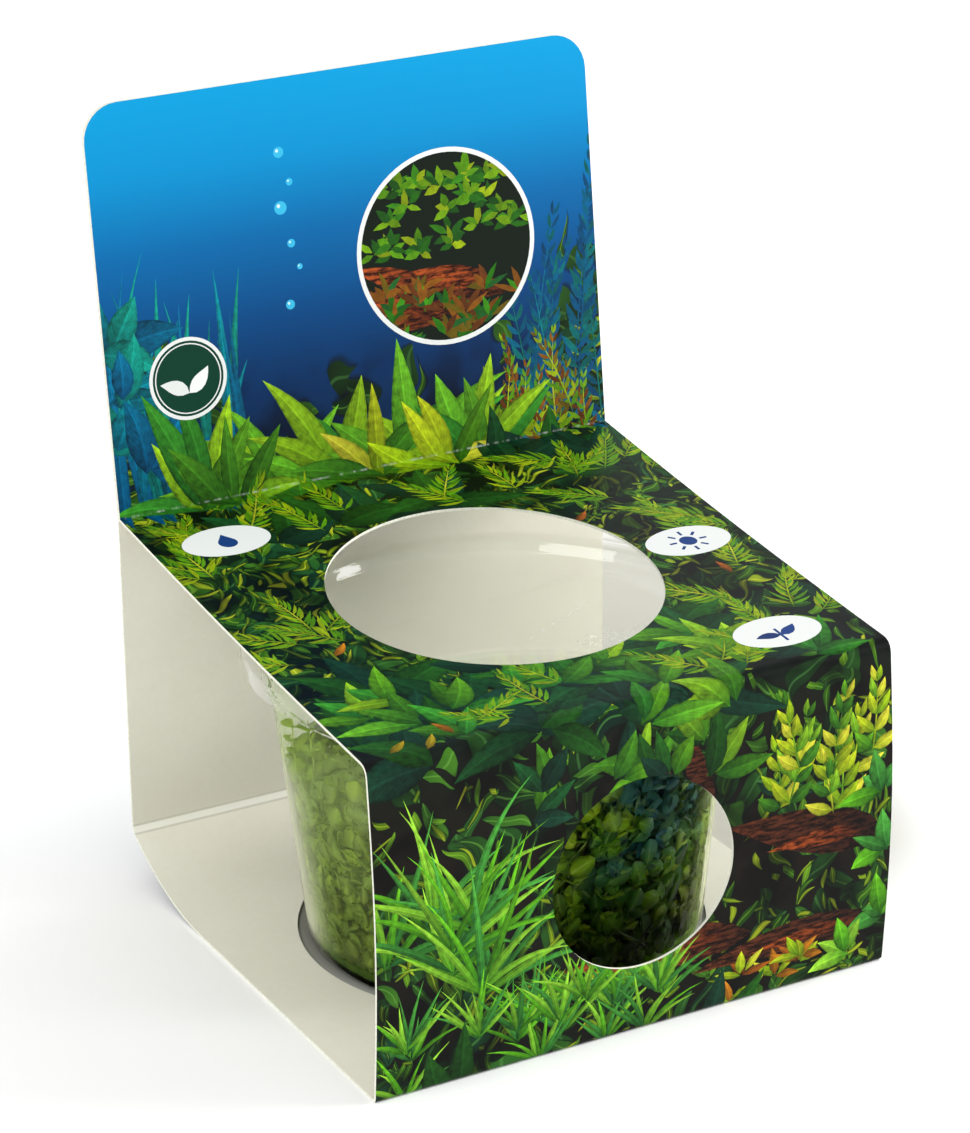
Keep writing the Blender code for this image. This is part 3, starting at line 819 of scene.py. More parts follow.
def marks(g):
    """Plain round fields with simple signs, and a round inset with small plants."""
    ink = (24, 62, 128)
    paper = (240, 243, 240)
    dark_green = (8, 62, 44)
    fields = ((-32.5, TOP_START + 13.5), (35.0, FRONT_START - 43.0), (31.0, FRONT_START - 10.0))
    for x, y in fields:
        g.oval(x, y, 15.0, 9.6, paper)
    x, y = fields[0]
    g.drop(x, y + 0.6, 2.9, ink)
    x, y = fields[1]
    g.oval(x, y, 3.0, 3.0, ink, 20)
    for i in range(8):
        way = Vector((math.cos(math.tau * i / 8), math.sin(math.tau * i / 8)))
        g.bar(Vector((x, y)) + way * 2.1, Vector((x, y)) + way * 3.4, 0.5, ink)
    x, y = fields[2]
    for side in (20, 160):
        g.blade((x, y + 1.2), side, 4.4, 2.0, [(ink, ink)], 30, 5, kind=SIGN)
    g.bar((x, y + 3.2), (x, y - 1.0), 0.5, ink)
    for size, tone in ((13.6, paper), (12.4, dark_green), (11.6, paper), (11.2, dark_green)):
        g.oval(-31, 46, size, size, tone)
    pale = (236, 240, 236)
    for side in (35, 145):
        g.blade((-31, 48.4), side, 5.4, 2.4, [(pale, pale)], 25, 6, kind=SIGN)
    g.oval(17, 32, 33.0, 33.0, paper, 72)
    g.oval(17, 32, 31.4, 31.4, (14, 26, 16), 72)
    g.inset = len(g.shapes) - 1
    g.plant(g.blade, g.scatter(12, (4, 30), (38, 50)), (150, 190), (10, 18), 4.0, WOOD, 10, 5, kind=BARK)
    g.plant(g.tuft, g.scatter(26, (3, 31), (20, 34)), 5, 3.2, 1.4, HERB + LIME, spread=200, steps=3)
    g.plant(g.tuft, g.scatter(20, (3, 31), (38, 50)), 5, 4.4, 1.2, GRASS + AUTUMN, spread=120, steps=3)


def garden():
    g = Garden()
    for part_of in (header_garden, front_garden, top_garden, rear_garden, marks):
        part_of(g)
    return g.shapes


# The cup, its lid and the gel: profiles turned about the cup's axis

def turned(name, profile, material, slot, *nodes):
    """Spin a closed profile of (radius, height) points in millimetres, its outer side run downwards."""
    turns = np.arange(ROUND_STEPS) * 2 * math.pi / ROUND_STEPS
    points = []
    rings = []
    for radius, height in profile:
        if radius < 1e-6:
            rings.append([len(points)])
            points.append((0.0, 0.0, height))
            continue
        rings.append(list(range(len(points), len(points) + ROUND_STEPS)))
        points += [(radius * math.cos(t), radius * math.sin(t), height) for t in turns]
    faces = []
    for above, below in zip(rings, rings[1:]):
        for i in range(ROUND_STEPS):
            j = (i + 1) % ROUND_STEPS
            if len(above) == 1:
                faces.append([above[0], below[i], below[j]])
            elif len(below) == 1:
                faces.append([above[i], below[0], above[j]])
            else:
                faces.append([above[i], below[i], below[j], above[j]])
    mesh = built_mesh(name, np.array(points) + AXIS, faces, material)
    return link_piece(mesh, slot, *nodes)


def arc(centre_radius, centre_height, radius, start, end, steps=5):
    turns = [math.radians(start + (end - start) * i / steps) for i in range(steps + 1)]
    return [(centre_radius + radius * math.cos(t), centre_height + radius * math.sin(t)) for t in turns]


def arcs(*given, steps=8):
    """Arcs one after another, each as centre radius, centre height, radius, first and last degrees."""
    return [place for one in given for place in arc(*one, steps)]


def outer_wall(height):
    return CUP_WALL_RADIUS + CUP_TAPER * height


def inner_wall(height):
    return outer_wall(height) - CUP_WALL


# The sheets are thin and even, so what is seen through them is hardly bent: the index stands for that
CLEAR_IOR = 1.008
# Fog: its share of the surface where it is thickest, the heights in metres over which it comes in at the foot
# and goes out at the neck, those over which its milky part goes out, and its colours. On the open side the
# fog is also painted light, for the leaves lit through that side.
FOG_SHARE = 0.32
FOG_FOOT = (0.001, 0.005)
FOG_NECK = (0.040, 0.047)
MILKY_TOP = (0.029, 0.037)
FOG_COLOUR = srgb(184, 196, 118)
OPEN_SIDE_FOG_AND_PAINTED_LIGHT = srgb(190, 214, 132)
OPEN_EDGE_FOG_AND_PAINTED_LIGHT = srgb(212, 214, 186)


def clear_plastic(name, tint, gloss):
    """Thin clear plastic with faint smudges."""
    net = Net(name)
    net.set(Base_Color=tint, IOR=CLEAR_IOR, Transmission_Weight=1.0)
    net.set(Coat_Weight=gloss, Coat_IOR=1.45, Coat_Roughness=0.03)
    net.set(Roughness=net.noise(net.place(), 90.0, 3.0) * 0.04 + 0.01)
    return net


def fogged_plastic():
    """Clear plastic, fogged inside where it is seen edge-on; on the open side at the left the fog is thicker
    and paler, which is painted light for the leaves lit through that side.
    """
    net = clear_plastic("clear_cup", (0.985, 0.992, 0.98), 0.02)
    place = net.place()
    across, _, height = net.split(place)
    facing = net.value("ShaderNodeLayerWeight", "Facing")
    # Painted light: more and paler fog on the open side, where light comes in
    open_side = net.step(across * -1.0, 0.012, 0.022)
    milky = net.step(facing, 0.55, 0.85) * net.line(height, *MILKY_TOP)
    thick = milky * 1.7 + (net.step(height, 0.012, 0.034) * 0.36 + 0.12)
    edge_on = net.math("MAXIMUM", net.step(facing, 0.58, 1.0) * 0.6, open_side * thick)
    clouds = net.step(net.noise(place, 70.0, 3.0), 0.3, 0.7) * 0.5 + 0.5
    foggy_height = net.step(height, *FOG_FOOT) * net.line(height, *FOG_NECK)
    colour = net.mix(open_side, FOG_COLOUR, net.mix(milky, OPEN_SIDE_FOG_AND_PAINTED_LIGHT, OPEN_EDGE_FOG_AND_PAINTED_LIGHT))
    net.cover(edge_on * clouds * foggy_height * FOG_SHARE, "ShaderNodeBsdfDiffuse", colour)
    return net.material


# The row of specks on the lid, in millimetres from its axis: y = slope * x + start, and specks per millimetre
ROW_SLOPE = 0.532
ROW_START = -4.3
SPECK_DENSITY = 1.3


def speckled_plastic():
    """Clear plastic with pale specks of condensed water on the dish, a row of them and a patch; their
    paleness is a painted highlight, for the glints on the droplets.
    """
    net = clear_plastic("clear_lid", (0.99, 0.992, 0.985), 0.8)
    from_axis = net.vector("SUBTRACT", net.place(), tuple(AXIS * MM))
    x, y, _ = net.split(net.vector("SCALE", from_axis, 1000.0))
    off_row = abs(x * ROW_SLOPE + ROW_START - y)
    row = net.line(off_row, 0.15, 0.6) * net.step(x, 3.0, 5.0) * net.line(x, 18.0, 21.0)
    patch = net.step(x, 8.0, 13.0) - net.step(x, 21.0, 25.0)
    patch = patch * (net.step(y, -15.0, -11.0) - net.step(y, -7.0, -4.5))
    from_speck, _, _ = net.cells(net.join(x, y), SPECK_DENSITY)
    dot = net.line(from_speck, 0.12, 0.34)
    some = net.step(net.noise(net.join(x, y), 0.5, 2.0, kind="2D"), 0.42, 0.5)
    outside = 1.0 - net.value("ShaderNodeNewGeometry", "Backfacing")
    share = dot * some * net.math("MAXIMUM", row, patch) * 0.5
    # Painted highlight: pale specks for the glints on the droplets
    net.cover(share * outside, "ShaderNodeBsdfDiffuse", srgb(246, 246, 240))
    return net.material


def cup():
    """The wall, its shoulder, neck and flange keep one thickness, also round their bends."""
    wall = CUP_WALL
    neck = NECK_RADIUS
    bend = 0.8
    floor = wall + 0.3
    ring = CUP_FOOT_RADIUS - 2.4
    hollow = 0.35
    foot_bend = 1.2
    inner_shoulder = SHOULDER + wall
    under_shoulder = inner_shoulder - wall - bend
    above_shoulder = inner_shoulder + bend
    turn = inner_wall(inner_shoulder) + wall + bend
    inside_neck = neck - wall - bend
    lip = neck + bend
    under_lip = CUP_HEIGHT - wall - bend
    half = wall / 2
    heights = (8.0, 16.0, 24.0, 32.0, 40.0)
    profile = [(0.0, floor), (ring, floor), (ring + 1.0, wall)]
    profile += arc(inner_wall(2.0) - foot_bend, wall + foot_bend, foot_bend, -90, 0)[1:]
    profile += [(inner_wall(z), z) for z in heights]
    profile += arcs((turn, under_shoulder, wall + bend, 180, 90), (inside_neck, above_shoulder, bend, -90, 0),
                    (lip, under_lip, wall + bend, 180, 90))
    profile += arc(FLANGE_RADIUS - half, CUP_HEIGHT - half, half, 90, -90, 6)
    profile += arcs((lip, under_lip, bend, 90, 180), (inside_neck, above_shoulder, wall + bend, 0, -90),
                    (turn, under_shoulder, bend, 90, 180))
    profile += [(outer_wall(z), z) for z in reversed(heights)]
    foot = outer_wall(1.4) - CUP_FOOT_RADIUS
    profile += arc(CUP_FOOT_RADIUS, foot, foot, 4, -90)
    profile += [(ring + 0.8, 0.0), (ring, hollow), (0.0, hollow)]
    return turned("clear_cup", profile, fogged_plastic(), "clear_plastic", "cup")


def lid():
    """A shallow dish pressed into the cup's mouth, with a rim that turns over it."""
    wall = LID_WALL
    dish = NECK_RADIUS - CUP_WALL - DISH_GAP
    floor = LID_TOP - DISH_DEPTH
    skirt = LID_TOP - RIM_DEPTH
    bend = 1.1
    steep = 180 - DISH_DRAFT
    slant = (LID_TOP - floor) * math.tan(math.radians(DISH_DRAFT))
    low = (dish - wall - bend - slant, floor + bend)
    high = (dish + bend, LID_TOP - wall - bend)
    side = (LID_RADIUS - wall - bend, LID_TOP - wall - bend)
    profile = [(0.0, floor)]
    profile += arcs((*low, bend, -90, -DISH_DRAFT), (*high, wall + bend, steep, 90),
                    (*side, wall + bend, 90, 0))
    profile += arc(LID_RADIUS - wall / 2, skirt + wall / 2, wall / 2, 0, -180, 6)
    profile += arcs((*side, bend, 0, 90), (*high, bend, 90, steep), (*low, wall + bend, -DISH_DRAFT, -90))
    profile += [(0.0, floor - wall)]
    return turned("clear_lid", profile, speckled_plastic(), "clear_plastic", "lid")


def growing_gel():
    net = Net("gel")
    cloud = net.noise(net.place(), 240.0, 4.0)
    net.set(Base_Color=net.ramp(cloud, [(0.3, srgb(30, 62, 0)), (0.7, srgb(66, 92, 6))]), Roughness=0.18)
    net.set(IOR=1.34, Transmission_Weight=0.1, Specular_IOR_Level=0.1)
    low = CUP_WALL + 0.35
    edge = inner_wall(2.0) - 0.06
    bend = 1.2
    profile = [(0.0, GEL_TOP), (edge - 3.4, GEL_TOP), (edge - 1.5, GEL_TOP - 0.4)]
    profile += [(edge - 0.9, GEL_SEEN + 0.6), (edge - 0.3, GEL_SEEN + 0.15), (edge, GEL_SEEN)]
    profile += arc(edge - bend, low + bend, bend, 0, -90) + [(0.0, low)]
    return turned("growing_gel_disc", profile, net.material, "gel", "growing_gel")


# Plants

PLANT_LOW = GEL_TOP + 0.8
WALL_LEAF_LOW = GEL_SEEN + 0.3
LEAF_LIMIT = 45.3
CORE_DEPTH = 2.3
# The tangle's height at the back, how much higher it stands at the window side, and the height of its lumps
CLUMP_BACK = 26.0
CLUMP_RISE = 14.0
CLUMP_LUMPS = 1.3
CLUMP_REACH = inner_wall(30.0)
STEM_RADIUS = 0.16
# Numbers of leaves pressed against the wall, behind those, low at the wall and on top, and of creeping stems
PRESSED_LEAVES = 760
BEHIND_LEAVES = 900
LOW_LEAVES = 330
TOP_LEAVES = 1100
CREEPING_STEMS = 150
# Direction round the cup in degrees, distance from its axis, height and lean of each shoot
SHOOTS = [(192, 30.0, 6.0, 0.8), (206, 26.5, 4.0, 0.8), (238, 28.0, 1.2, 0.8), (262, 24.0, 1.2, 0.8),
          (296, 27.0, 1.0, 0.8), (330, 28.5, 1.0, 0.8), (168, 33.5, 9.0, 3.0), (160, 33.5, 5.0, 2.0),
          (175, 31.5, 8.5, 3.5)]


def clump_top(x, y):
    """Height of the leafy tangle, as in its solid: high against the window side, lower at the back."""
    t = 0.5 - 0.5 * max(-1.0, min(1.0, y / CLUMP_REACH))
    slope = CLUMP_BACK + CLUMP_RISE * (3 * t * t - 2 * t ** 3)
    return slope + CLUMP_LUMPS * noise.noise(Vector((x * 0.11 + 3.1, y * 0.11, 0.0)))


def clump_edge(turn):
    """The same just inside the wall, in a direction round the cup."""
    return clump_top(30 * math.cos(turn), 30 * math.sin(turn))


def unit(vectors):
    return vectors / np.linalg.norm(vectors, axis=-1, keepdims=True)


def keep_in_cup(points, margin):
    """Press what would reach the cup's wall, or the gel, against it."""
    flat = np.hypot(points[:, 0], points[:, 1])
    limit = CUP_WALL_RADIUS - CUP_WALL + CUP_TAPER * points[:, 2] - margin
    share = np.minimum(1.0, limit / np.maximum(flat, 1e-6))
    points[:, 0] *= share
    points[:, 1] *= share
    lowest = np.where(flat > limit - 0.7, GEL_SEEN + 0.1, GEL_TOP + 0.25)
    points[:, 2] = np.clip(points[:, 2], lowest, LEAF_LIMIT)
    return points


# Along, half width and height above the plane of a leaf of length 1
LEAF_STATIONS = [(0.0, 0.0), (0.16, 0.24), (0.44, 0.40), (0.74, 0.36), (0.93, 0.17), (1.0, 0.0)]


def leaf_template():
    """A thin closed blade: an outline ring, and a midrib above and below it."""
    inner = LEAF_STATIONS[1:-1]
    ring = [(0.0, 0.0)] + [(a, w) for a, w in inner] + [(1.0, 0.0)] + [(a, -w) for a, w in reversed(inner)]
    points = [(a, w, 0.9 * w * w) for a, w in ring]
    points += [(a, 0.0, 0.012) for a, _ in inner] + [(a, 0.0, -0.022) for a, _ in inner]
    count = len(inner)
    tip = count + 1
    size = len(ring)
    faces = []
    for side in (0, 1):
        mid = [size + side * count + i for i in range(count)]
        left = [1 + i for i in range(count)]
        right = [size - 1 - i for i in range(count)]
        made = [[0, mid[0], left[0]], [0, right[0], mid[0]]]
        made += [[tip, left[-1], mid[-1]], [tip, mid[-1], right[-1]]]
        for i in range(count - 1):
            made += [[left[i], mid[i], mid[i + 1], left[i + 1]], [mid[i], right[i], right[i + 1], mid[i + 1]]]
        faces += [face if side == 0 else face[::-1] for face in made]
    return np.array(points), faces


def joined(groups):
    """Groups of leaves, each as arrays or as a list of single leaves, joined into arrays."""
    columns = []
    for n in range(6):
        parts = [np.array([leaf[n] for leaf in one]) if isinstance(one, list) else one[n] for one in groups]
        columns.append(np.concatenate(parts))
    return columns


def leaves(name, material, *groups):
    """One mesh of many leaves, given from the cup's axis in millimetres."""
    shape, faces = leaf_template()
    roots, ways, facings, lengths, widths, tones = joined(groups)
    ways = unit(ways)
    facings = unit(facings - ways * (facings * ways).sum(1, keepdims=True))
    sides = np.cross(facings, ways)
    count = len(roots)
    chance = np.random.default_rng(len(name))
    droop = chance.uniform(-0.1, 0.28, count)
    twist = chance.uniform(-0.35, 0.35, count)
    along = shape[None, :, 0] * lengths[:, None]
    across = shape[None, :, 1] * (lengths * widths)[:, None]
    lift = (shape[None, :, 2] - droop[:, None] * shape[None, :, 0] ** 2
            + twist[:, None] * shape[None, :, 0] * shape[None, :, 1]) * lengths[:, None]
    points = roots[:, None] + along[..., None] * ways[:, None] + across[..., None] * sides[:, None]
    points = keep_in_cup((points + lift[..., None] * facings[:, None]).reshape(-1, 3), 0.25)
    size = len(shape)
    all_faces = [[n * size + i for i in face] for n in range(count) for face in faces]
    mesh = built_mesh(name, points + AXIS, all_faces, material)
    values = {"tone": np.repeat(tones, size), "along": np.tile(shape[:, 0], count),
              "across": np.tile(shape[:, 1] * 2.5, count)}
    for label, numbers in values.items():
        mesh.attributes.new(label, "FLOAT", "POINT").data.foreach_set("value", numbers.astype(np.float32))
    return link_piece(mesh, "leaf")


def tubes(name, paths, radius, material):
    """Thin closed stems along paths given from the cup's axis in millimetres."""
    sides = 5
    points = []
    faces = []
    for path in paths:
        path = np.asarray(path)
        ways = unit(np.gradient(path, axis=0))
        aside = unit(np.cross(ways, (0.3, 0.2, 0.93)))
        over = np.cross(aside, ways)
        first = len(points)
        for i, place in enumerate(path):
            thin = radius * (1.0 - 0.45 * i / (len(path) - 1))
            for k in range(sides):
                t = math.tau * k / sides
                points.append(place + (aside[i] * math.cos(t) + over[i] * math.sin(t)) * thin)
        last = len(points) - sides
        for ring in range(first, last, sides):
            faces += band(ring, ring + sides, sides)
        faces += [[first + k for k in reversed(range(sides))], [last + k for k in range(sides)]]
    return link_piece(built_mesh(name, np.array(points) + AXIS, faces, material), "leaf")


def around(turns, radius, heights):
    return np.stack([np.cos(turns) * radius, np.sin(turns) * radius, heights], 1)


def along_wall(turns, swing):
    """Directions out through the wall, and up along it but swung aside."""
    out = around(turns, 1.0, np.zeros(len(turns)))
    aside = np.cross(out, (0, 0, 1))
    swing = swing[:, None]
    return out, np.array([0, 0, 1]) * np.cos(swing) + aside * np.sin(swing)


def wall_leaves(chance, count, depth_low, depth_high, loose):
    """Leaves pressed against the cup's wall, or behind those."""
    turns = chance.uniform(0, math.tau, count)
    share = chance.uniform(0, 1, count) ** 0.9
    tops = np.array([clump_edge(turn) for turn in turns])
    heights = WALL_LEAF_LOW + share * (tops - WALL_LEAF_LOW - 1.5)
    roots = around(turns, inner_wall(heights) - chance.uniform(depth_low, depth_high, count), heights)
    out, ways = along_wall(turns, chance.normal(0.0, 0.85, count))
    facings = out + chance.normal(0, loose, (count, 3))
    ways = ways + chance.normal(0, loose * 0.6, (count, 3))
    lengths = chance.uniform(3.4, 5.2, count)
    low = np.flatnonzero(heights < WALL_LEAF_LOW + 4)
    ways[low, 2] = np.abs(ways[low, 2])
    return roots, ways, facings, lengths, chance.uniform(0.8, 1.15, count), chance.uniform(0, 1, count)


def low_leaves(chance, count):
    """Leaves that lie against the wall down to the band of gel that shows."""
    turns = chance.uniform(0, math.tau, count)
    heights = chance.uniform(WALL_LEAF_LOW, PLANT_LOW + 2.0, count)
    roots = around(turns, inner_wall(heights) - chance.uniform(0.15, 1.0, count), heights)
    out, ways = along_wall(turns, chance.uniform(-1.4, 1.4, count))
    facings = out + chance.normal(0, 0.3, (count, 3))
    lengths = chance.uniform(3.0, 4.6, count)
    return roots, ways, facings, lengths, chance.uniform(0.8, 1.15, count), chance.uniform(0.1, 0.8, count)


def top_leaves(chance, count):
    """Leaves on top of the tangle, facing up."""
    turns = chance.uniform(0, math.tau, count)
    reach = np.sqrt(chance.uniform(0, 1, count)) * (CLUMP_REACH - 1.5)
    heights = np.array([clump_top(r * math.cos(t), r * math.sin(t)) for r, t in zip(reach, turns)])
    roots = around(turns, reach, heights - chance.uniform(0.0, 3.5, count))
    swing = chance.uniform(0, math.tau, count)
    ways = around(swing, 1.0, chance.uniform(0.0, 0.7, count))
    facings = np.array([0, 0, 1.0]) + chance.normal(0, 0.35, (count, 3))
    lengths = chance.uniform(2.4, 4.4, count)
    return roots, ways, facings, lengths, chance.uniform(0.85, 1.15, count), chance.uniform(0.35, 1, count)


def creeping_stem(chance, turn, depth, low, high):
    """A stem that wanders up the inside of the wall."""
    path = []
    height = low
    sway = chance.normal(0, 0.02)
    while height < min(high, clump_edge(turn) - 1.0):
        radius = inner_wall(height) - depth
        path.append((radius * math.cos(turn), radius * math.sin(turn), height))
        sway = sway * 0.8 + chance.normal(0, 0.02)
        turn += sway
        depth = min(6.0, max(0.7, depth + chance.normal(0, 0.35)))
        height += 1.4 * chance.uniform(0.6, 1.1)
    return np.array(path)


def shoot(degrees, reach, height, swing):
    """A straight young stem that stands up out of the tangle and leans round the cup."""
    turn = math.radians(degrees)
    foot = np.array([reach * math.cos(turn), reach * math.sin(turn), 0.0])
    foot[2] = clump_top(foot[0], foot[1]) - 3.0
    lean = np.array([math.sin(turn), -math.cos(turn), 0.0]) * swing
    return np.array([foot + (lean + (0, 0, height + 3.0)) * t for t in np.linspace(0, 1, 7)])


def pairs_on(path, chance, spacing, size):
    """Opposite pairs of leaves at the nodes of a stem."""
    found = []
    quarter = chance.uniform(0, math.pi)
    for i in range(1, len(path), spacing):
        way = unit(path[i] - path[i - 1])
        aside = unit(np.cross(way, (math.cos(quarter), math.sin(quarter), 0.1)))
        quarter += math.radians(90) + chance.normal(0, 0.2)
        tone = chance.uniform(0.3, 1.0)
        for side in (1, -1):
            out = aside * side + way * chance.uniform(0.35, 0.9)
            facing = way * 1.2 - aside * side * 0.5
            found.append((path[i], out, facing, size * chance.uniform(0.8, 1.15), 1.0, tone))
    return found


def tangle_tint_and_painted_light(net, colour):
    """Bluer leaves in the upper part; paler flanks, painted light for the light that comes in at the open
    sides; painted shade low down and most on the window side, where the card keeps the light off.
    """
    place = net.place()
    across, back, height = net.split(place)
    patches = net.step(net.noise(place, 75.0, 2.0), 0.42, 0.58)
    high = net.step(height, 0.018, 0.028) * patches
    colour = net.mix(high * 0.7, colour, srgb(26, 88, 108))
    front = net.step(back * -1.0, 0.015, 0.029) * net.step(across, -0.016, -0.002)
    low = net.line(height, 0.006, 0.026)
    flank = 1.0 - front
    # Painted light: the flanks paler and yellower
    colour = net.mix(flank * 0.4, colour, srgb(206, 226, 96))
    # Painted shade: darker low down, and most on the window side
    dark = low * flank * 0.35 + front * (low * 0.72 + 0.15)
    return net.vector("SCALE", colour, 1.0 - dark)


def leaf_material():
    net = Net("leaf")
    across = abs(net.attribute("across", "Fac"))
    mottle = net.noise(net.place(), 700.0, 3.0)
    mixed = mottle * 0.3 + (net.attribute("tone", "Fac") * 0.8 - 0.08)
    blade = net.ramp(mixed, [(0.05, srgb(10, 52, 24)), (0.28, srgb(38, 96, 16)), (0.6, srgb(92, 146, 12)),
                             (0.85, srgb(150, 184, 16)), (1.0, srgb(196, 212, 70))])
    veins = net.math("SINE", (net.attribute("along", "Fac") - across) * 34.0)
    pale = net.line(across, 0.02, 0.12) * 0.35 + veins * 0.04
    colour = tangle_tint_and_painted_light(net, net.mix(pale, blade, srgb(170, 196, 90)))
    net.set(Base_Color=colour, Roughness=0.3, Specular_IOR_Level=0.06)
    net.bump(veins * 0.3 + mottle, 0.25, 0.0003)
    net.cover(0.4, "ShaderNodeBsdfTranslucent", net.mix(0.5, colour, srgb(150, 190, 40)))
    return net.material


def stem_material():
    net = Net("stem")
    streak = net.noise(net.place(), 500.0, 2.0)
    green = net.ramp(streak, [(0.3, srgb(80, 116, 20)), (0.7, srgb(128, 156, 50))])
    net.set(Base_Color=tangle_tint_and_painted_light(net, green), Roughness=0.4, Specular_IOR_Level=0.2)
    return net.material


def tangle_core():
    """The dark inside of the tangle, so that no light comes through it."""
    net = Net("shaded_tangle")
    rough = net.noise(net.place(), 320.0, 4.0)
    moss = net.ramp(rough, [(0.35, srgb(44, 60, 8)), (0.55, srgb(84, 98, 24)), (0.75, srgb(116, 134, 44))])
    net.set(Base_Color=tangle_tint_and_painted_light(net, moss), Roughness=0.8, Specular_IOR_Level=0.1)
    net.bump(rough, 0.8, 0.002)
    steps = 72
    side_rings = 20
    top_rings = 4
    foot = GEL_TOP + 0.1
    ways = [(math.cos(math.tau * k / steps), math.sin(math.tau * k / steps)) for k in range(steps)]
    points = [(0.0, 0.0, foot)]
    for ring in range(side_rings):
        up = ring / (side_rings - 1)
        for x, y in ways:
            lump = noise.noise(Vector((x * 7, y * 7, up * 8)))
            height = foot + up * (clump_top(x * 28, y * 28) - 3.0 - foot)
            radius = inner_wall(height) - CORE_DEPTH + lump
            points.append((x * radius, y * radius, height))
    for ring in range(1, top_rings + 1):
        radius = (CLUMP_REACH - CORE_DEPTH) * (1 - ring / (top_rings + 1))
        points += [(x * radius, y * radius, clump_top(x * radius, y * radius) - 2.6) for x, y in ways]
    last = len(points) - steps
    points.append((0.0, 0.0, clump_top(0, 0) - 2.6))
    faces = [[0, 1 + (k + 1) % steps, 1 + k] for k in range(steps)]
    for first in range(1, last, steps):
        faces += band(first, first + steps, steps)
    faces += [[last + k, last + (k + 1) % steps, len(points) - 1] for k in range(steps)]
    mesh = built_mesh("plant_tangle", np.array(points) + AXIS, faces, net.material)
    return link_piece(mesh, "leaf", "plant_clump")


def plants():
    tangle_core()
    chance = np.random.default_rng(11)
    green = leaf_material()
    leaves("leaves_at_wall", green, wall_leaves(chance, PRESSED_LEAVES, 0.1, 1.2, 0.25))
    behind = wall_leaves(chance, BEHIND_LEAVES, 1.0, 2.6, 0.5)
    rooted = low_leaves(chance, LOW_LEAVES)
    stems = []
    on_stems = []
    for _ in range(CREEPING_STEMS):
        turn = chance.uniform(0, math.tau)
        high = clump_edge(turn) + chance.uniform(-6, 1.5)
        path = creeping_stem(chance, turn, chance.uniform(0.8, 3.5), PLANT_LOW + chance.uniform(0, 12), high)
        if len(path) > 4:
            stems.append(path)
            on_stems += pairs_on(path, chance, 3, 3.6)
    for given in SHOOTS:
        stems.append(shoot(*given))
        on_stems += pairs_on(stems[-1][2:], chance, 2, 3.4)
    tubes("plant_stems", stems, STEM_RADIUS, stem_material())
    leaves("leaves_inside", green, behind, rooted, on_stems)
    leaves("leaves_on_top", green, top_leaves(chance, TOP_LEAVES))


# Stage: camera, floor and light

# Ends in metres and colour of a soft shadow painted on the floor, to the object's right and back
SHADOW_NEAR = (0.050, 0.008, 0.0)
SHADOW_FAR = (0.088, 0.112, 0.0)
PAINTED_SHADOW_TONE = (0.56, 0.55, 0.49)
FLOOR_TONE = (0.96, 0.96, 0.96)
UNDER_CUP_PAINTED_SHADE = (0.2, 0.2, 0.17)
FLOOR_SIZE = 6.0
WORLD_LIGHT = 0.82
# Name, place, width and power of each soft lamp, and the point that they all face
SOFT_LIGHTS = [("key", (-1.0, -0.3, 0.9), 0.8, 7.0), ("side", (0.9, -0.3, 0.34), 0.7, 13.0)]
LIT_POINT = Vector((0, 0, 0.05))


def camera():
    flat = math.cos(CAMERA_ELEVATION)
    rise = math.sin(CAMERA_ELEVATION)
    back = Vector((math.sin(CAMERA_AZIMUTH) * flat, -math.cos(CAMERA_AZIMUTH) * flat, rise))
    right = Vector((0, 0, 1)).cross(back).normalized()
    up = back.cross(right)
    c, s = math.cos(CAMERA_ROLL), math.sin(CAMERA_ROLL)
    turn = Matrix((right * c + up * s, up * c - right * s, back)).transposed()
    data = bpy.data.cameras.new("camera")
    data.sensor_fit = "VERTICAL"
    data.sensor_height = 36.0
    data.lens = FOCAL_PIXELS / IMAGE_HEIGHT * data.sensor_height
    data.clip_start = 0.01
    data.clip_end = 20.0
    made = linked("camera", data)
    made.matrix_world = Matrix.Translation(CAMERA_PLACE) @ turn.to_4x4()
    bpy.context.scene.camera = made


def floor_material():
    """Pale, with a painted soft shadow on the right and a disc of painted shade under the cup's foot."""
    net = Net("pale_floor")
    place = net.place()
    from_near_end = net.vector("SUBTRACT", place, SHADOW_NEAR)
    run = tuple(b - a for a, b in zip(SHADOW_NEAR, SHADOW_FAR))
    share = net.vector("DOT_PRODUCT", from_near_end, run) / sum(n * n for n in run)
    share = net.math("MINIMUM", net.math("MAXIMUM", share, 0.0), 1.0)
    off = net.vector("LENGTH", net.vector("SUBTRACT", from_near_end, net.vector("SCALE", run, share)))
    # Painted shadow to the object's right and back
    tone = net.mix(net.step(off, 0.018, 0.04), PAINTED_SHADOW_TONE, FLOOR_TONE)
    # Painted shade in a disc under the cup's foot
    outside_foot = net.step(net.vector("LENGTH", place), 0.03, 0.04)
    net.set(Base_Color=net.mix(outside_foot, UNDER_CUP_PAINTED_SHADE, tone), Roughness=0.9, Specular_IOR_Level=0.1)
    return net.material


def studio():
    side = FLOOR_SIZE / MM
    corners = [(-side, -side, 0), (side, -side, 0), (side, side, 0), (-side, side, 0)]
    linked("floor", built_mesh("floor", corners, [[0, 1, 2, 3]], floor_material()))
    world = bpy.data.worlds.new("studio")
    world.use_nodes = True
    sky = world.node_tree.nodes["Background"].inputs
    sky["Color"].default_value = (1.0, 1.0, 1.0, 1.0)
    sky["Strength"].default_value = WORLD_LIGHT
    bpy.context.scene.world = world
    for name, place, width, power in SOFT_LIGHTS:
        lamp = bpy.data.lights.new(name, "AREA")
        lamp.shape = "SQUARE"
        lamp.size = width
        lamp.energy = power
        made = linked(name, lamp)
        made.location = place
        made.rotation_euler = (LIT_POINT - Vector(place)).to_track_quat("-Z", "Y").to_euler()
    bpy.context.scene.view_settings.view_transform = "Standard"


# The card's materials

# Where the board was pressed along its folds, drawn as lines of painted shade: both sides of the low back
# fold, and the front's two folds
SCORE_LINES = [DOWN[STARTS["low_fold"]], DOWN[STARTS["high_fold"]], FRONT_END, FRONT_START]
PRINT_DENSITY = 0.78
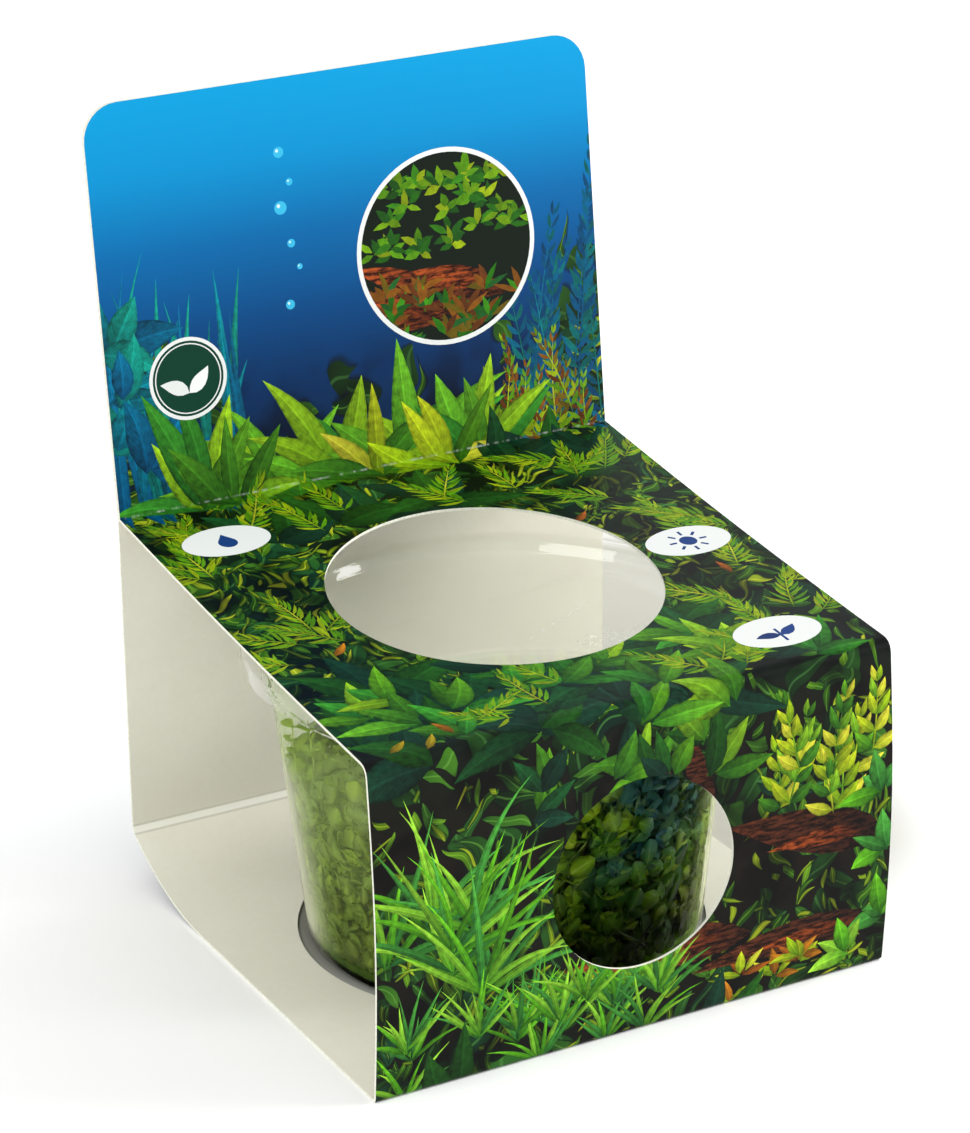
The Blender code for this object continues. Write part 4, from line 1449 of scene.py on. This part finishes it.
# Ground colours down the sheet: sky on the header, dark on the top, earth on the front, sky on the back
GROUND = [(0, (0, 158, 218)), (12, (0, 146, 208)), (25, (0, 105, 170)), (38, (0, 72, 132)), (50, (2, 45, 92)),
          (62, (6, 32, 60)), (TOP_START, (8, 26, 30)), (TOP_START + 4, (12, 28, 16)),
          (FRONT_START - 3, (8, 24, 20)), (FRONT_START + 3, (16, 20, 12)), (FRONT_START + 20, (22, 15, 10)),
          (FRONT_END, (14, 14, 8)), (FRONT_END + 100, (10, 30, 24)), (SHEET_LENGTH - 60, (4, 44, 86)),
          (SHEET_LENGTH, (0, 150, 212))]
# Layers of printed leaves, from the deepest: heading in degrees, length and width in millimetres, spread of
# headings, share shown at the places below, and tones from dark to light
DEEP_LEAVES = [
    (70, 10.0, 4.4, 2.2, (0.5, 0.9, 0.95, 0.5, 0.6, 0.3), ((6, 22, 8), (18, 50, 16), (34, 78, 24))),
    (-35, 8.0, 3.0, 2.0, (0.4, 0.8, 0.9, 0.4, 0.5, 0.25), ((10, 34, 12), (30, 72, 20), (60, 110, 26))),
    (20, 13.0, 5.0, 1.6, (0.1, 0.5, 0.75, 0.2, 0.1, 0.15), ((8, 34, 24), (20, 66, 34), (44, 98, 30))),
    (80, 6.0, 1.7, 2.4, (0.1, 0.55, 0.45, 0.25, 0.4, 0.15), ((16, 48, 8), (44, 90, 14), (90, 134, 22))),
    (-60, 5.0, 1.1, 2.2, (0.0, 0.4, 0.25, 0.02, 0.2, 0.1), ((40, 66, 6), (84, 116, 10), (140, 160, 24))),
    (35, 5.5, 1.0, 1.8, (0.0, 0.35, 0.2, 0.01, 0.1, 0.05), ((56, 80, 6), (110, 134, 10), (170, 180, 34))),
]
# Places down the sheet: none yet, the header's foot, the top, its front, the front, its foot, the back, none
LEAF_PLACES = (TOP_START - 22, TOP_START - 4, TOP_START + 14, FRONT_START - 12, FRONT_START + 8,
               FRONT_END - 6, FRONT_END + 90, SHEET_LENGTH - 55, SHEET_LENGTH - 30)


def card_materials():
    """The bare board, with painted shade along the lines pressed at its folds and painted light on the band
    between the back folds, and its cut edge.
    """
    net = Net("bare_card")
    fibre = net.noise(net.place(), 900.0, 3.0)
    cloud = net.noise(net.place(), 40.0, 2.0)
    tone = net.ramp(cloud * 0.7 + fibre * 0.3, [(0.3, srgb(225, 222, 208)), (0.7, srgb(233, 230, 217))])
    _, down, _ = net.split(net.attribute("sheet"))
    pressed = 0.0
    for place in SCORE_LINES:
        pressed = net.math("MAXIMUM", pressed, net.line(abs(down - place), 0.08, 0.4))
    low, high = SCORE_LINES[:2]
    between = net.step(down, low, low + 0.3) * net.line(down, high - 0.3, high)
    # Painted light on the narrow band between the two back folds
    tone = net.mix(between * 0.6, tone, srgb(250, 249, 240))
    # Painted shade along the pressed lines
    tone = net.mix(pressed * 0.45, tone, srgb(176, 172, 156))
    net.set(Base_Color=tone, Roughness=0.75, Specular_IOR_Level=0.2)
    net.bump(fibre, 0.08, 0.0002)
    edge = Net("cut_card_edge")
    rough = edge.noise(edge.place(), 2500.0, 2.0)
    tone = edge.ramp(rough, [(0.3, srgb(214, 214, 198)), (0.7, srgb(238, 238, 224))])
    edge.set(Base_Color=tone, Roughness=0.85)
    return net.material, edge.material


def leaf_layer(net, place, under, heading, length, width, spread, shares, tones):
    """Leaves scattered by the cells of a stretched texture, each with its own turn, tone and midrib."""
    turned_place = net.turn(place, math.radians(heading))
    _, chances, centre = net.cells(net.vector("MULTIPLY", turned_place, (1 / length, 1 / width, 0.0)), 1.0)
    centre = net.vector("MULTIPLY", centre, (length, width, 0.0))
    sway, pick, show = net.split(chances)
    own = net.turn(net.vector("SUBTRACT", turned_place, centre), sway * spread - spread / 2)
    along, off, _ = net.split(own)
    t = net.math("MULTIPLY_ADD", along, 1 / (0.96 * length), 0.5, clamp=True)
    lens = t * (1.0 - t) * 4.0
    half = net.math("POWER", lens, 0.75) * (0.44 * width)
    off = abs(off + (lens - 0.6) * (0.1 * width))
    gap = off - half
    across, down, _ = net.split(net.turn(centre, -math.radians(heading)))
    lift = across * across * 0.011
    levels = (0.0, *shares, shares[-1], 0.0)
    wanted = net.ramp((down + lift) / SHEET_LENGTH,
                      [(d / SHEET_LENGTH, (level,) * 3) for d, level in zip(LEAF_PLACES, levels)])
    shown = net.math("LESS_THAN", show, wanted)
    blade = net.ramp(t * 0.35 + pick * 0.65, [(0.15 + 0.35 * i, srgb(*tone)) for i, tone in enumerate(tones)])
    rib_tone = srgb(*(min(255, c * 1.25 + 30) for c in tones[-1]))
    blade = net.mix(net.line(off, 0.02 * width, 0.07 * width) * 0.35, blade, rib_tone)
    halo = net.line(gap, 0.0, 0.16 * width + 0.3) * shown
    under = net.mix(halo * 0.7, under, (0.002, 0.006, 0.003))
    return net.mix(net.line(gap, -0.18, 0.02) * shown, under, blade)


def leaf_shading(net, colour, along, across, kind, place):
    """Midrib, veins, a darker half and rims on drawn leaves; streaks on drawn wood; signs stay plain."""
    off = abs(across)
    veins = net.math("SINE", (off * -0.35 + along) * 62.0)
    mottle = net.noise(place, 0.9, 3.0, kind="2D")
    light = net.step(across, -0.1, 0.1) * 0.28 + 0.78
    light = net.step(off, 0.7, 1.0) * -0.35 + light
    light = (mottle - 0.5) * 1.1 + light
    light = veins * 0.07 + light
    light = net.line(off, 0.03, 0.14) * 0.45 + light
    streaks = net.noise(net.vector("MULTIPLY", place, (0.35, 1.5, 1.0)), 1.0, 5.0, 0.7, kind="2D")
    bark = net.step(streaks, 0.38, 0.66) * 1.9 + 0.15
    wood = net.step(kind, BARK - 0.6, BARK - 0.4)
    sign = net.math("LESS_THAN", kind, SIGN / 2)
    light = light * (1.0 - wood) + bark * wood
    light = net.math("MAXIMUM", light, sign)
    light = net.math("MINIMUM", light, 3.0 - sign * 2.0)
    return net.vector("SCALE", colour, light)


def print_material():
    net = Net("print")
    sheet = net.attribute("sheet")
    _, down, _ = net.split(sheet)
    colour = net.ramp(down / SHEET_LENGTH, [(d / SHEET_LENGTH, srgb(*tone)) for d, tone in GROUND])
    drift = net.noise(sheet, 0.09, 1.0, kind="2D", output="Color")
    drift = net.vector("SUBTRACT", drift, (0.5, 0.5, 0.5))
    warped = net.vector("ADD", sheet, net.vector("MULTIPLY", drift, (9.0, 9.0, 0.0)))
    for layer in DEEP_LEAVES:
        colour = leaf_layer(net, warped, colour, *layer)
    clumps = net.step(net.noise(sheet, 0.11, 2.0, kind="2D"), 0.36, 0.62)
    leafy = net.step(down, TOP_START - 26.0, TOP_START - 4.0)
    leafy = leafy * net.line(down, SHEET_LENGTH - 110.0, SHEET_LENGTH - 70.0)
    colour = net.vector("SCALE", colour, (clumps * 0.95 - 0.75) * leafy + 1.0)
    along, across, kind = net.split(net.attribute("leaf_place"))
    leaf = net.mix(along, net.attribute("root_tone", "Color"), net.attribute("tip_tone", "Color"))
    leaf = leaf_shading(net, leaf, along, across, kind, sheet)
    colour = net.mix(net.attribute("root_tone", "Alpha"), colour, leaf)
    wear = net.noise(net.vector("MULTIPLY", sheet, (0.8, 0.05, 1.0)), 1.0, 3.0, 0.7, kind="2D")
    worn = net.line(abs(down - TOP_START), 0.1, 0.35) * net.step(wear, 0.4, 0.75)
    colour = net.mix(worn * 0.6, colour, srgb(190, 200, 190))
    net.set(Base_Color=net.vector("SCALE", colour, PRINT_DENSITY), Roughness=0.36, Specular_IOR_Level=0.1)
    return net.material


camera()
studio()
card_sleeve(garden(), [print_material(), *card_materials()])
# Light passes many clear surfaces on its way in and out
bpy.context.scene.cycles.max_bounces = 32
bpy.context.scene.cycles.transmission_bounces = 32
cup()
lid()
growing_gel()
plants()
